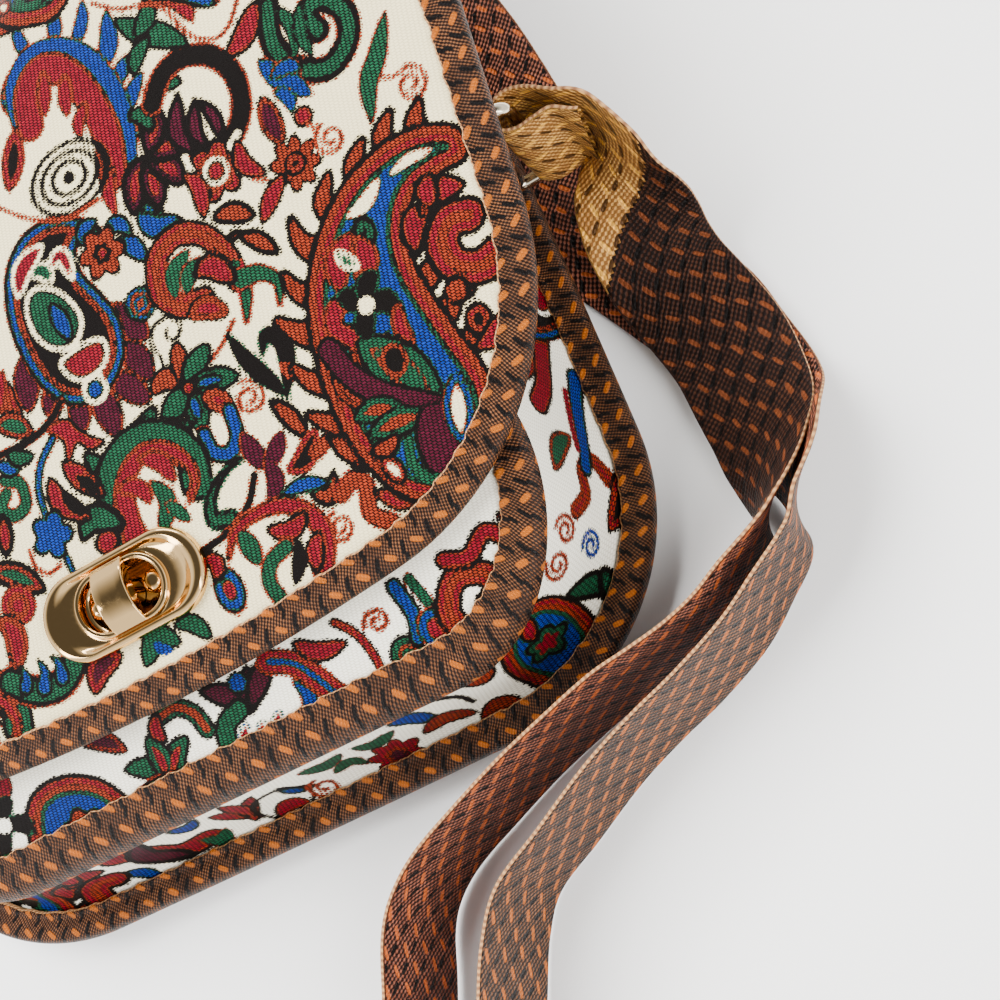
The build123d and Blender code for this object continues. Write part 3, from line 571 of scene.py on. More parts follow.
flapDrawing = drawn(
    # small boteh and its skirt of leaves
    (leaf, "black .5 rust .3 maroon -.3", (3.2, 3, 57, -1.5, 51.5, -3.8, 45.5),
     (2.4, 4, 47, 2, 44.5, 1.5, 41.5), (2.5, 8, 44, 7, 39.5, 6.2, 35.6),
     (3.0, 12.5, 43, 13.2, 36, 13, 30.8), (2.7, 17, 43, 20, 38.5, 23, 33.8),
     (2.8, 21, 48, 24.4, 43, 25.4, 37.6), (3.2, 22, 56, 26, 50.5, 28.2, 46)),
    (blob, "rust 1.2 black .7 blue 0 rust -1.4 red -2.1 black -2.9",
     (12.5, 40.2, 6, 42.4, 2, 48, 0.3, 56, 0.6, 65, 4, 74, 10, 79, 17, 79.8, 24, 76.5, 28, 71.6, 24.5, 72.8,
      20.5, 70.6, 20, 65, 22.2, 59, 23.6, 52.5, 21.8, 46, 17.5, 42)),
    (blob, "cream .9 black .1 green -.6", (6, 66, 9.5, 67.5, 14, 63.5, 15.6, 57, 12, 53.4, 7.5, 55, 5, 60)),
    (leaf, "black .4 blue 0", (1.7, 11, 63, 11.5, 58.5, 12, 54.6)),
    (blob, "cream .9 black .1 red -.5", (8, 50.5, 13, 51.4, 18, 50.5, 17.5, 47, 13.5, 45.2, 9.5, 46.5)),
    (disc, "cream 1.1 black .3 blue -.3", (12.5, 42, 2.0)),
    (leaf, "cream .6 red -.1", (1.9, 4.6, 69, 8, 73.5, 14, 75.6), (1.3, 14, 70.5, 17.6, 71.5, 18, 66)),
    (leaf, "cream .5 green 0", (1.4, 9.6, 71, 12, 71, 13.4, 68)),
    # flower beside it, disc and blue leaves
    (leaf, blueLeaf, (1.9, 29, 67, 33, 65.5, 35.4, 60.5), (1.5, 29, 70, 32.4, 71, 34.4, 67.6),
     (1.3, 23, 71, 25, 73.8, 28, 74)),
    (petals, "black .7 rust 0", (26.5, 67, 5.2, 6, 0.3)),
    (petals, "black 0 red -.8", (26.5, 67, 2.2, 6, 0.3)),
    (disc, "black .4 blue 0 rust -.8 blue -1.7 rust -2.5", (30, 53, 3.4)),
    (leaf, blueLeaf, (2.3, 37.8, 70, 39.8, 66, 46, 63.6), (1.0, 39, 70.6, 41.6, 69.8, 42.6, 67.6)),
    # feathered crescent over the egg
    (leaf, "rust .6 blue 0", (1.5, 29, 114, 27.4, 119, 27, 125), (1.7, 33.6, 113, 36.4, 118, 36.6, 124.4),
     (1.6, 38, 110, 42.6, 115, 44.6, 119.6), (2.2, 42, 102, 46.6, 107, 48.8, 114),
     (1.8, 43, 96, 47, 100, 52.4, 101.6), (1.7, 43.4, 90, 47, 94, 51, 97),
     (1.7, 42.4, 84, 46, 87.4, 49.4, 90.6), (1.6, 21, 104, 19.4, 109, 21.6, 114.6)),
    (stem, "rust .6 blue 0", (3.0, 21.4, 103.4, 22.6, 110.6, 28, 114.6, 34.6, 112.8, 40, 107, 42.6, 98,
                              42.4, 89.6, 39.6, 82)),
    (stem, "rust .7 red 0", (3.1, 22.6, 101, 24.6, 108, 29.6, 111, 34.6, 107.4, 37.6, 99, 38.2, 89, 35.8,
                             80.6)),
    (leaf, "rust .5 red 0", (1.6, 30, 110, 28.4, 105.4, 26.6, 101), (1.7, 34.4, 106.4, 32.6, 102, 31.6, 98),
     (1.4, 36.4, 98, 33.4, 95.4, 32.6, 92), (1.5, 36.4, 82, 33.6, 78.6, 33, 72.6)),
    (hoop, "black 0", (0.55, 26.4, 85.6, 9.6, 7.4), (0.55, 26.4, 85.6, 7.0, 5.4),
     (0.55, 26.4, 85.6, 4.2, 3.4)),
    (disc, "black 0", (26.4, 85.6, 1.5)),
    (stem, vine, (0.45, 8, 89, 14, 82.6, 22, 78, 31, 77.6)),
    (leaf, "rust .7 red 0 black -1.4", (2.7, 18.4, 102, 15.6, 96.4, 12.2, 91)),
    # dark leaves and the two ring curls
    (leaf, "black .8 maroon -.4 red -1.2", (2.4, 44, 80, 40, 76.6, 37, 71),
     (2.4, 44.6, 79, 43.6, 74, 43, 69.4), (2.4, 45, 79, 48, 75.6, 49.6, 71),
     (2.2, 45.6, 80, 50, 79.4, 53.4, 77.4), (2.3, 45.4, 81, 48.6, 84.6, 50.4, 88.6)),
    (leaf, greenLeaf, (1.7, 49.6, 91.6, 53.6, 92.6, 58, 90.4), (1.4, 45, 90, 47.4, 88.4, 48, 85)),
    (stem, "rust .8 black 0", (2.0, 50.4, 89.6, 55, 94, 61, 94.6, 67, 90.8, 69.6, 84, 67.6, 77, 62, 72.6,
                               55.6, 74)),
    (leaf, "black .5 maroon -.6", (2.0, 54.6, 75, 53, 81, 56.4, 88), (1.6, 58, 74.4, 56.8, 79, 59.4, 85),
     (1.4, 61.4, 74, 61.8, 79, 60.4, 84)),
    (stem, "cream 0", (0.5, 56, 72.4, 60.6, 71.4, 65, 73.4)),
    (leaf, greenLeaf, (2.5, 50.4, 110.6, 54, 105.6, 58.4, 101.6, 62.6, 97),
     (1.8, 53.4, 105, 57, 107.6, 58, 111), (1.5, 55, 103, 51.6, 101, 49.4, 98)),
    (stem, vine, (0.45, 46.6, 117.6, 52, 112.6, 60, 108.4, 64, 98.6, 68, 94.6, 72.4, 94.6, 77, 99)),
    (leaf, "rust .6 red 0", (2.2, 60, 110.6, 65, 106.6, 66, 100.6), (1.9, 66, 108, 70, 103.6, 73.4, 101)),
    (leaf, "black .5 blue 0", (1.8, 63, 109, 68, 106.4, 71.4, 101), (1.5, 58.6, 112, 62, 111, 65, 108)),
    (stem, "rust 1.3 black .8 green -.4", (1.7, 82, 93.6, 79.8, 86, 82, 79, 88, 75, 94, 77.4, 96.2, 83, 93,
                                           88.4, 88.6, 87.4, 89.6, 83)),
    (leaf, "black .4 green 0", (1.4, 83, 81, 85, 86, 84, 92), (1.2, 86.4, 79.4, 86, 84, 88.4, 90)),
    (leaf, "black .8 red 0", (2.2, 70.4, 89.4, 75, 91, 80, 95.6)),
    (leaf, "rust .5 blue 0", (2.4, 75.6, 84.6, 78, 79, 82.8, 72), (1.5, 77, 80, 80.6, 80, 83, 78),
     (1.4, 76, 77, 78, 74, 77.6, 71)),
    (leaf, "black .5 rust .2 maroon -.7", (2.2, 72.9, 77, 72.6, 71.6, 72.8, 66.6)),
    (disc, "black .6 red 0", (79.2, 69, 1.7)),
    (petals, "black .7 rust 0", (73.5, 61.4, 5.3, 8)),
    (disc, "black .4 red 0 black -1.1", (73.5, 61.4, 1.9)),
    (petals, "black .8 red 0 rust -1.5", (57.4, 69, 6.0, 6, 0.5)),
    (disc, "cream .5 black -.1 red -.8", (57.4, 69, 2.4)),
    (leaf, redLeaf, (1.7, 50.6, 72, 52.4, 68, 51, 62), (1.6, 64, 72, 63.6, 67, 66.6, 63)),
    (curl, vine, (0.45, 82.4, 62, 3.6, 100, 1.5), (0.45, 102, 62.6, 3.8, 80, -1.5),
     (0.45, 43.6, 23.6, 3.8, 95, -1.6), (0.45, 50, -8.8, 3.4, 90, 1.7)),
    (stem, vine, (0.4, 79.4, 67, 80.4, 65.6, 81.6, 65.4), (0.4, 64, 63, 68, 60.6),
     (0.4, 103, 66.2, 99, 66, 96, 68.6)),
    (leaf, "red .7 green 0", (1.9, 103.4, 78, 98.4, 71.6, 94.4, 67.6, 91.6, 60.4)),
    (leaf, darkLeaf, (2.3, 52.6, 60.6, 57, 59.4, 61, 56.4), (2.0, 56, 54.6, 59, 52, 62.4, 47),
     (1.0, 52.6, 53, 54.6, 55, 57.6, 54.4)),
    (leaf, "black .5 red 0", (1.7, 62, 54.4, 66, 58, 70, 60.4)),
    # C scroll with its forked stem
    (stem, "black .7 red 0 rust -1.3", (2.0, 43.6, 46.8, 38, 47.8, 35, 53, 37.4, 59.4, 43.4, 61.6, 49, 58.6,
                                        52, 52, 52, 46.4)),
    (thorn, "red .8 green 0", (1.9, 52, 49, 52.6, 44, 50, 38),
     (1.9, 52.6, 46.4, 56.8, 45.4, 59.6, 42, 58, 37.6)),
    (leaf, "red .6 green 0", (1.9, 37.8, 50, 39.4, 54.6, 44.4, 57.4), (1.8, 40.4, 49.6, 43, 53, 47.6, 54)),
    (leaf, "black .8 red -.1", (2.2, 44.4, 52, 48, 51.8, 50.8, 47.2)),
    (leaf, "black .4 rust .1 red -1", (2.3, 39, 44.8, 43, 44.8, 47, 41.6)),
    (stem, vine, (0.5, 39.4, 34.6, 43.6, 36.6, 47.4, 39.4)),
    (stem, "black 0", (0.5, 29.4, 39, 28.8, 44.4, 31, 47.4, 34.8, 47.2, 36.2, 44.4, 34.4, 42.4, 32.4, 43.8,
                       33.2, 45.2)),
    # star flower
    (leaf, "black .7 rust 0", (2.0, 31.8, 33, 28.4, 36, 24.6, 35), (1.7, 32, 34, 32.9, 38, 33.7, 41.4)),
    (leaf, "black .8 green 0", (2.0, 32.4, 33, 36, 35.6, 39.8, 37.4), (2.1, 33, 31.6, 38, 30.8, 43, 29),
     (2.2, 32.2, 31, 32, 27, 31.4, 22.8), (2.2, 31.4, 31.8, 28.4, 30.4, 24.2, 27.2)),
    (leaf, "black .2 blue -.1", (1.0, 34, 31.6, 37, 31, 40, 30), (1.1, 32.2, 30, 32, 27.6, 31.7, 25)),
    (disc, "black .5 red 0", (32.2, 31.9, 1.0)),
    (leaf, "black .4 rust 0 red -1.2", (2.2, 34.6, 28.6, 37, 26.6, 39.4, 23.6)),
    (stem, "rust .9 black .5 blue 0", (1.3, 31.2, 21.4, 31.6, 17.4, 34.8, 15.6, 37.8, 18, 38.6, 23.4)),
    # big curled leaf with buds and quatrefoil
    (leaf, "black .9 green 0", (1.8, 4.4, 30.4, 6.6, 25.6, 6, 19), (2.0, 23, 31.6, 19, 29.2, 12.6, 27.4),
     (1.8, 29.2, 25.2, 25, 25.8, 20, 27.6)),
    (stem, "black 1 green 0", (3.0, 5.2, 12, 5.8, 19.4, 9, 24.8, 14, 27.2, 19.4, 27, 24, 23.8, 26.4, 18.6,
                               25.4, 13.6)),
    (thorn, "rust .7 red 0", (2.6, 7.4, 10, 8.6, 18, 12, 22.6, 17, 24.6, 22, 23, 25.2, 18.6, 25.4, 14.4,
                              22.2, 11)),
    (leaf, "rust .5 red 0", (1.8, 8.6, 20.4, 12.6, 18.8, 14, 14.6), (1.9, 15.6, 24, 19.6, 21, 21, 16)),
    (leaf, "rust .7 green 0", (1.9, 15.8, 18.6, 17.6, 13, 13, 7.6)),
    (leaf, "rust .6 green 0", (1.3, 17, 13, 19, 10, 20.4, 7.4)),
    (leaf, "black 1 green -.2", (2.3, -4, 15.4, 0, 18, 5.4, 14)),
    (disc, "black .7 red 0", (0.8, 12, 2.4, 2.0)),
    (leaf, "black .7 red 0", (2.2, -5.8, 29.8, -5.6, 24.6, -1, 18.6),
     (2.2, -1.2, 31.4, 1.2, 26.6, 4.2, 21.6)),
    (leaf, "black 0", (1.2, -4.4, 26, -3.2, 22.4, -1, 19.6), (1.2, 0.4, 27.6, 2, 25, 3.8, 22)),
    (blob, "black .6 red 0", (-1.4, 39.6, 3.2, 39.4, 5, 36, 7.4, 33, 9.4, 31.2, 6, 31.4, 3.6, 34.2, 0.2,
                              31.6, 1, 35.6)),
    (stem, "rust .7 black .4 blue 0", (0.6, -1.4, 37.4, -6.2, 34, -9.2, 29.4, -10.3, 23)),
    (stem, "black .4 blue 0", (0.5, -9.6, 15, -9.6, 9)),
    (petals, "black .7 blue 0", (-10.7, 19.2, 4.9, 5, 0.3)),
    (stem, vine, (0.5, -17.2, 18.6, -17.4, 15, -15, 12.2, -11.6, 12.6)),
    (stem, "rust .7 green 0", (1.2, -16, 35, -12.8, 32.4, -13.6, 27.8, -17.4, 27, -19.4, 30, -17, 32)),
    (stem, "red .5 black 0", (0.7, -16, 40.4, -7, 39.6, -1, 40.8, 4, 43.6)),
    (leaf, "black .5 blue 0", (1.3, -16, 38.8, -14, 36.6, -11.4, 35.6)),
    (leaf, greenLeaf, (1.3, -12.6, 39.4, -10.4, 37.4, -7.6, 36.4)),
    (leaf, "black .6 red 0 green -.9", (2.3, -12.6, 46.6, -9, 44.6, -5.4, 41)),
    (leaf, "rust .6 red 0", (1.8, -6, 56, -9, 53, -10.6, 48.6)),
    (leaf, "black .6 red -.6", (1.8, -20, 28, -21.4, 24, -22.8, 20.4)),
    (leaf, "black 1 red -.2 green -1.2", (2.3, -28, 19, -23, 15.6, -18, 10)),
    (disc, "rust .5 red 0 rust -1.6 red -2.5", (-25, 9.4, 4.2)),
    (leaf, "black .5 rust .2 red -.8", (2.6, -31, 9, -28.6, 4, -31.6, -3)),
    (stem, "rust 1.6 black .9 green 0", (2.2, -34, -4.6, -29, -9, -23, -10, -18, -7.4, -16, -4)),
    (thorn, "black .4 blue 0", (1.5, -27, -9, -25.4, -6, -25.8, -3.4), (1.4, -22, -9, -21.4, -6, -22.4, -4),
     (1.3, -31, -7, -30, -5, -30.4, -3)),
    (leaf, "black .6 red 0 maroon -1.3", (2.6, -16, -15, -12.6, -11, -7, -10.6)),
    (leaf, "black .6 green 0", (2.3, -2, -15, 2.6, -11, 7, -14), (1.6, 8, -10.6, 11.6, -12, 14, -16)),
    (leaf, "blue 0", (1.2, 1.4, -11.6, 2.8, -13.6, 5, -15)),
    # below and right of the lock
    (thorn, "green .5 black 0 green -1", (2.0, 29, 3.4, 25.4, 5, 27, 9.4, 32, 12.6, 37.6, 13.4)),
    (stem, "rust .4 black 0", (0.7, 20.6, 0.4, 28, 1.4, 33.8, 4.4, 37.6, 9)),
    (leaf, "rust .6 maroon 0", (2.0, 41, 9, 39.6, 13, 39, 17.6), (1.8, 40.8, 9.6, 43.6, 11, 46.8, 14),
     (1.8, 41.2, 10.4, 41.4, 6, 38.4, 2.6)),
    (thorn, "rust .8 red 0", (2.3, 43, -14, 46, -8.6, 45, -3.4, 40.6, 0.8, 34, 1.8, 28.6, 0.6, 25, -3.4)),
    (leaf, "black .6 red 0", (1.8, 44, -3, 39.6, -4.6, 35.6, -2.2), (1.6, 45, -8, 42.6, -10.6, 41.6, -14)),
    (leaf, "red .7 green 0", (1.9, 29.4, 0.2, 30.2, -3.2, 30.6, -7.4)),
    (stem, "rust .7 green 0", (1.4, 37.4, -7, 33, -8.4, 31, -12, 32, -17)),
    (leaf, "black 0", (1.8, 40.4, -6.2, 39, -10.6, 35.6, -15)),
    (disc, "rust .9 black .4 blue 0 red -1.5", (22.2, -9.4, 2.9, 4.4)),
    (leaf, redLeaf, (1.5, 20.4, -1, 22, -3.4, 20.6, -6)),
    (leaf, "green .5 black 0", (1.8, 45, 37.4, 46.4, 31, 48.6, 26, 51.6, 19.6),
     (1.9, 50, 30, 52.4, 33.4, 55, 30.6, 54, 25.6, 51, 20)),
    (leaf, vine, (1.2, 52.4, 26.4, 53.8, 24.6, 54, 22)),
    (leaf, darkLeaf, (2.1, 47.4, 21, 49.6, 16.6, 51.6, 10.4), (1.9, 47, 1.4, 50.6, -2.2, 53.6, 2)),
    (leaf, "rust .5 red .2 black -1", (2.4, 44.6, 6.4, 49, 7, 53.6, 11.2)),
    (leaf, "green .6 black .3 blue -.1", (1.5, 41.4, 2.8, 46, 2.6, 51.6, 0.6)),
    (stem, "red .7 rust 0", (1.2, 52, 7, 55.4, 8, 58.6, 6, 60, 2.6),
     (1.5, 53, -3, 56.6, -1.4, 58.6, -4, 57, -9, 60.4, -13)),
    (leaf, "black 0", (1.6, 57, 4.6, 58.6, 1.6, 60, -1.4)),
    (leaf, "black .7 red 0", (1.4, 60, -6, 63.6, -9.6, 68, -11.6)),
    # thorns and bands of the big boteh
    (thorn, "black .9 rust 0", (2.4, 61, 2, 57.6, 5, 56.4, 9), (2.4, 60.4, 9, 56.4, 11.6, 53.8, 14.4),
     (2.5, 60.4, 18, 57, 20.6, 55, 24.6), (2.6, 62, 28, 58.6, 31, 56, 34.8),
     (2.5, 65.6, 35, 62.6, 38, 61.4, 42.4), (2.5, 70, 43, 67.6, 46.4, 67.6, 51.6),
     (2.4, 76, 48.6, 75.4, 51.6, 78.6, 55.6), (2.4, 84, 52, 84.6, 55, 88, 58),
     (2.4, 92, 54, 92.4, 57, 95.6, 60), (2.2, 99, 53.6, 99.6, 56, 102, 58.6),
     (2.0, 88, 34, 89.6, 35.6, 92, 35), (2.2, 88.4, 27, 91, 28.4, 94, 27.6),
     (2.2, 89, 19, 91.6, 20.6, 95, 20), (2.2, 90, 11, 92.6, 12.6, 96, 12)),
    (blob, "black 1 rust 0 red -1.3 black -2.9 green -3.2 blue -3.9",
     (79, -15, 70, -13, 64, -7.6, 60.6, 1, 59.3, 10, 59.8, 20, 62, 30, 66.2, 39, 73, 46.7, 81, 52, 90, 54.6,
      99, 54, 106, 50, 105.6, 44.4, 100, 44.2, 94.6, 43.8, 90.4, 41, 87.4, 35.6, 86.6, 29, 87.6, 21, 89, 13,
      90.4, 4, 88, -6)),
    (leaf, "rust .5 cream 0", (1.3, 78.6, 46, 83, 46.6, 87.6, 49.4), (0.9, 90.6, 49, 95, 49.6, 100, 49)),
    (disc, "black .6 green 0 black -1", (80.6, 41.6, 1.7, 2.2)),
    (leaf, "rust .6 red 0", (2.4, 71, 33.6, 72.6, 39, 77.4, 42.6), (2.2, 75, 33.6, 78.4, 36, 78.6, 41)),
    (leaf, "cream .2 green -.5", (1.4, 73.4, 41, 74.6, 38, 76.4, 36)),
    (stem, "rust .5 red 0", (1.7, 72.6, 31, 68, 30.6, 66.6, 27, 69, 23.4, 69.4, 19.6)),
    (leaf, "green .5 black 0", (2.0, 74.6, 28.4, 71.6, 31.4, 70, 32.6),
     (2.0, 74.8, 28.6, 76.4, 32, 79, 32.6), (2.0, 75, 28, 78.4, 27, 79.6, 24),
     (1.9, 74.4, 27.6, 72.4, 25, 72.6, 22.6)),
    (disc, "black .4 cream 0", (74.4, 28.2, 1.7)),
    (leaf, "rust .6 red 0", (1.3, 80.6, 25, 79, 21.4, 80, 17)),
    (stem, "red 0", (0.5, 73, 20.6, 73.6, 18.4), (0.5, 75.6, 20.8, 76, 18.8)),
    (leaf, "black .6 green 0 rust -1.8 green -2.6", (4.6, 70, 22, 74.8, 14.4, 79.6, 3.6)),
    (disc, "rust .9 black 0", (75, 15.6, 2.0, 2.4)),
    (leaf, "black .4 rust .1 red -.8", (2.4, 62.4, 20, 64, 15, 67, 9)),
    (stem, "black .5 maroon 0", (2.0, 63.4, 24, 65.4, 17, 70, 10.6, 76, 5.6, 81, 1)),
    (leaf, "black .4 green 0 rust -1.1", (2.4, 62.6, 9, 67.6, 8.4, 73, 4),
     (2.4, 64, 4.6, 70, 4.4, 76.4, 3)),
    (blob, "black .6 maroon 0", (76, 4, 80.6, 2, 80, -5, 76, -10, 72.4, -7, 72.6, -1)),
    (leaf, "black .4 red 0 cream -1", (1.6, 64, -1, 65.2, -3.4, 66, -6.4)),
    (leaf, "black .5 rust 0", (1.3, 63, 1.6, 66, 0.8, 68.6, 1.8)),
    (stem, "green 0", (0.8, 70.6, 0, 69.4, -4, 71, -8.6, 74.6, -9.6)),
    (leaf, "rust .3 blue 0 red -1.2 cream -1.8", (3.0, 85, 7, 82.6, 1, 80.4, -5.4)),
    # curled red leaf in the cream field of the boteh
    (stem, "black 1 red 0 rust -2", (2.9, 101, 33.6, 97, 34.4, 93.8, 31, 94.6, 26, 99, 23.4, 103, 24)),
    (disc, "black .8 rust 0", (92.4, 21.6, 2.0)),
    (leaf, "black .8 red 0", (2.1, 88.6, 33, 90.6, 38, 96, 39.4), (2.2, 93, 38.6, 97, 41, 102.6, 39.6),
     (1.8, 95.6, 39.6, 95.4, 42, 97, 44)),
    (disc, "black .8 red 0 black -1.1", (94, 14.4, 2.2, 2.6)),
    (leaf, "black .6 red 0", (1.8, 91.6, 9.6, 95, 10, 99, 13)),
)

frontDrawing = drawn(
    (blob, "black 1 red 0 rust -1.6 green -2.9 blue -3.8",
     (-22, -50, -23.4, -40, -27, -33, -33, -29, -40, -28, -46, -31, -50, -40, -50, -50)),
    (petals, "black .6 rust 0 red -2", (-36, -41, 5, 6)),
    (leaf, "black .5 red .1 maroon -.9", (2.0, -27, -23, -22, -25, -18, -29)),
    (leaf, "black .7 green 0", (2.1, -12, -40, -15, -35, -20, -33), (2.1, -11, -40, -8, -35, -4, -32.6),
     (2.3, -11.6, -40, -11.4, -34, -12, -29)),
    (leaf, "red 0", (0.9, -12, -38, -11.6, -34, -12, -31), (0.8, -10.6, -38, -8, -35, -6, -33.6)),
    (leaf, "black .5 blue 0", (1.7, -14, -41, -10.6, -42.4, -6, -41)),
    (stem, "black .5 green 0 rust -.8", (1.7, -7.4, -26, -3, -25.6, 0.4, -28.6, 1.4, -33)),
    (leaf, redLeaf, (1.4, -8, -25.4, -9.4, -28, -8.6, -31)),
    (leaf, "black .4 maroon -.6", (2.5, 4, -25, 8, -27.6, 14, -33), (2.5, 16, -25, 14.6, -29, 12, -34),
     (2.4, 22, -25, 18, -28, 13, -33)),
    (disc, "black .4 blue 0", (12.6, -27, 2.0)),
    (stem, "black .7 green 0", (1.8, 5.4, -43, 4.2, -38, 6, -34, 10, -32.4)),
    (leaf, "blue .6 cream 0 red -.1", (1.3, 9, -43, 8, -39, 10, -36), (1.3, 13, -43, 12, -40, 13.4, -37),
     (1.2, 17, -42, 16.4, -39, 18, -36.6)),
    (stem, "red .6 blue 0", (1.5, 8, -43.6, 14, -42, 20, -42, 25, -38, 25.4, -33)),
    (stem, "rust .7 red 0 blue -1.7", (2.4, 21, -26, 26, -29, 29, -34, 32, -40, 37, -42.6)),
    (leaf, redLeaf, (1.8, 28, -25, 32, -29, 38, -30)),
    (stem, "black .4 red 0", (0.7, 42, -42, 42.4, -35, 41, -29, 38, -25)),
    (curl, vine, (0.5, 46.4, -29, 3, 180, -1.4)),
    (disc, "black .6 green 0 rust -1.2 green -2", (49, -38.4, 3.4, 4)),
    (stem, "black .6 blue 0", (1.3, 53, -24, 54, -31, 52.6, -36)),
    (stem, "rust .5 green 0", (1.0, 56.6, -24, 58, -31, 57, -38)),
    (disc, "red .6 blue 0 red -1.6", (57, -36, 3.6, 4.4)),
    (stem, "black .8 red 0 rust -1.4", (2.1, 62, -40, 61, -34, 65, -28.6, 71, -30, 72.4, -35, 69, -36)),
    (stem, "black .7 red 0", (1.4, 65, -24, 70, -25.6, 75, -22.6, 79, -26)),
    (leaf, "black .6 red 0", (1.7, 76, -30, 80, -31, 84, -28), (1.6, 79, -21, 84, -22, 88, -18)),
    (leaf, "black .6 blue 0", (2.0, 83, -14, 87, -15, 92, -10)),
    (leaf, "black .6 green 0 red -1.1", (2.2, 93, -6, 96, -11, 94.6, -18)),
)

gussetDrawing = drawn(
    (stem, "black .8 red 0", (2.6, -42, 22, -35, 18, -30, 12, -22, 12)),
    (leaf, "black .8 maroon -.6", (3.0, -34, 24, -37, 16, -30, 9)),
    (leaf, "black .5 blue 0", (1.7, -48, 14, -43, 11, -40, 7), (1.6, -26, 22, -22, 20, -19, 22),
     (1.5, 1, 18, 3, 14, 7, 12), (2.2, 33, 22, 38, 20, 41, 14)),
    (leaf, "rust .5 green 0", (1.9, -25, 12, -21, 9, -18, 12), (2.0, 8, 20, 14, 18, 19, 20),
     (1.8, 13, 13, 18, 15, 20, 11), (2.0, 22, 20, 26, 17, 32, 19)),
    (leaf, "black .5 red 0", (2.0, -16, 20, -12, 15, -9, 10), (2.0, -5, 20, -9, 15, -11, 10),
     (1.6, -12, 22, -10, 17, -10, 12), (1.8, -6, 8, -2, 10, 2, 8)),
    (hoop, "black 0", (0.5, -2, 12, 7, 6)),
    (curl, vine, (0.5, 8, 10, 4, 90, 1.5)),
    (petals, "black .5 red 0", (27, 9, 6.6, 8)),
    (petals, "rust 0 maroon -1", (27, 9, 3, 8)),
    (leaf, "black .5 red 0 rust -1", (2.2, 36, 12, 42, 14, 48, 11), (2.0, 48, 8, 54, 10, 58, 6)),
    (stem, "black 0", (0.8, 44, 24, 49, 20, 50, 15)),
    (leaf, "black .4 rust -.3", (1.8, 52, 24, 56, 22, 60, 24)),
    (blob, "black .9 red 0 rust -1.4 green -2.4 blue -3.2",
     (71, 31, 64, 26, 61, 17, 63, 8, 70, 5, 77, 8, 80, 17, 78, 27)),
    (petals, "black .7 green 0 red -1.4", (70.5, 17, 4.6, 5, 0.4)),
    (leaf, "black .5 red 0", (1.5, 70, 22, 71, 25, 73, 27)),
    (curl, "rust 0", (0.55, 86, 27, 3.6, 100, 1.6), (0.55, 93.4, 27, 3.4, 90, -1.6)),
    (curl, "blue 0", (0.55, 92, 17.4, 3.2, 110, -1.6)),
    (leaf, "black .8 green -.4", (2.2, 81, 20, 85, 13, 86, 7), (1.7, 88, 12, 85, 9, 82, 7)),
    (stem, "red .6 rust 0 red -.9", (1.6, 98, 24, 102, 20, 107, 20, 110, 15, 106, 11)),
    (leaf, "black .5 red 0 black -1.2", (2.3, 96, 12, 102, 9, 108, 8)),
    (leaf, "black .4 rust .1 green -.7", (2.4, 106, 30, 112, 26, 115, 20)),
    (stem, "black .5 blue 0", (1.6, 108, 18, 116, 15, 124, 12, 131, 9)),
    (stem, "red 0", (0.9, 112, 19, 119, 17, 127, 14)),
    (stem, "black .7 red 0", (2.2, 122, 27, 127, 22, 134, 18, 142, 14)),
    (leaf, "black .6 red 0", (1.7, 128, 28, 133, 24, 139, 22)),
)


# Flap
flap = {"halfWidth": 118.0, "footHalf": 105.5, "rootHalf": 93.0, "shoulderLevel": 15.5, "corner": 62.0,
        "bow": 520.0, "drop": 24.0, "cloth": 2.4, "rise": 46.0, "fineCell": 0.66, "wideCell": 1.05,
        "topCell": 1.3, "topLength": 60.0, "fineShare": 0.64, "slot": (20.6, 11.8), "inside": (91, 81),
        "repeats": ((-133, 4), (-40, 136), (96, 132), (-168, 124), (-20, -122))}


def flapOutline():
    # right half in (x, v): bow, corner arc that touches bow and side, sloping side, straight side, root
    end = bag["lockLevel"] - flap["drop"]
    bowMiddle = np.array([0, end + flap["bow"]])
    footLevel = bowMiddle[1] - math.sqrt(flap["bow"] ** 2 - flap["footHalf"] ** 2)
    top = np.array([flap["halfWidth"], flap["shoulderLevel"]])
    foot = np.array([flap["footHalf"], footLevel])
    way = (foot - top) / np.linalg.norm(foot - top)
    inward = np.array([way[1], -way[0]])
    start = top + flap["corner"] * inward - bowMiddle
    reach = flap["bow"] - flap["corner"]
    run = -(start @ way) + math.sqrt((start @ way) ** 2 - start @ start + reach ** 2)
    middle = bowMiddle + start + run * way
    bowAngle = math.atan2(*(middle - bowMiddle)[::-1])
    sideAngle = math.atan2(-inward[1], -inward[0])
    bow = bowMiddle + flap["bow"] * turned(np.linspace(-math.pi / 2, bowAngle, 60))
    corner = middle + flap["corner"] * turned(np.linspace(bowAngle, sideAngle, 60))
    cornerMid = len(bow) + 28
    side = np.linspace(top + run * way, top, 40)
    plan = np.concatenate([bow, corner[1:], side[1:]])
    outline = np.stack([plan[:, 0], lengthAtLevel(plan[:, 1])], -1)
    rise = np.linspace(outline[-1, 1], wallStart + flap["rise"], 140)[1:]
    spread = (flap["halfWidth"] - flap["rootHalf"]) / bag["lockHeight"]
    width = np.minimum(flap["halfWidth"], flap["rootHalf"] + spread * sideView(rise)[:, 1])
    return np.concatenate([outline, np.stack([width, rise], -1)]), cornerMid


flapEdge, flapCorner = flapOutline()
print("flap outline", np.round(flapEdge[[0, flapCorner, -1]], 1).tolist())


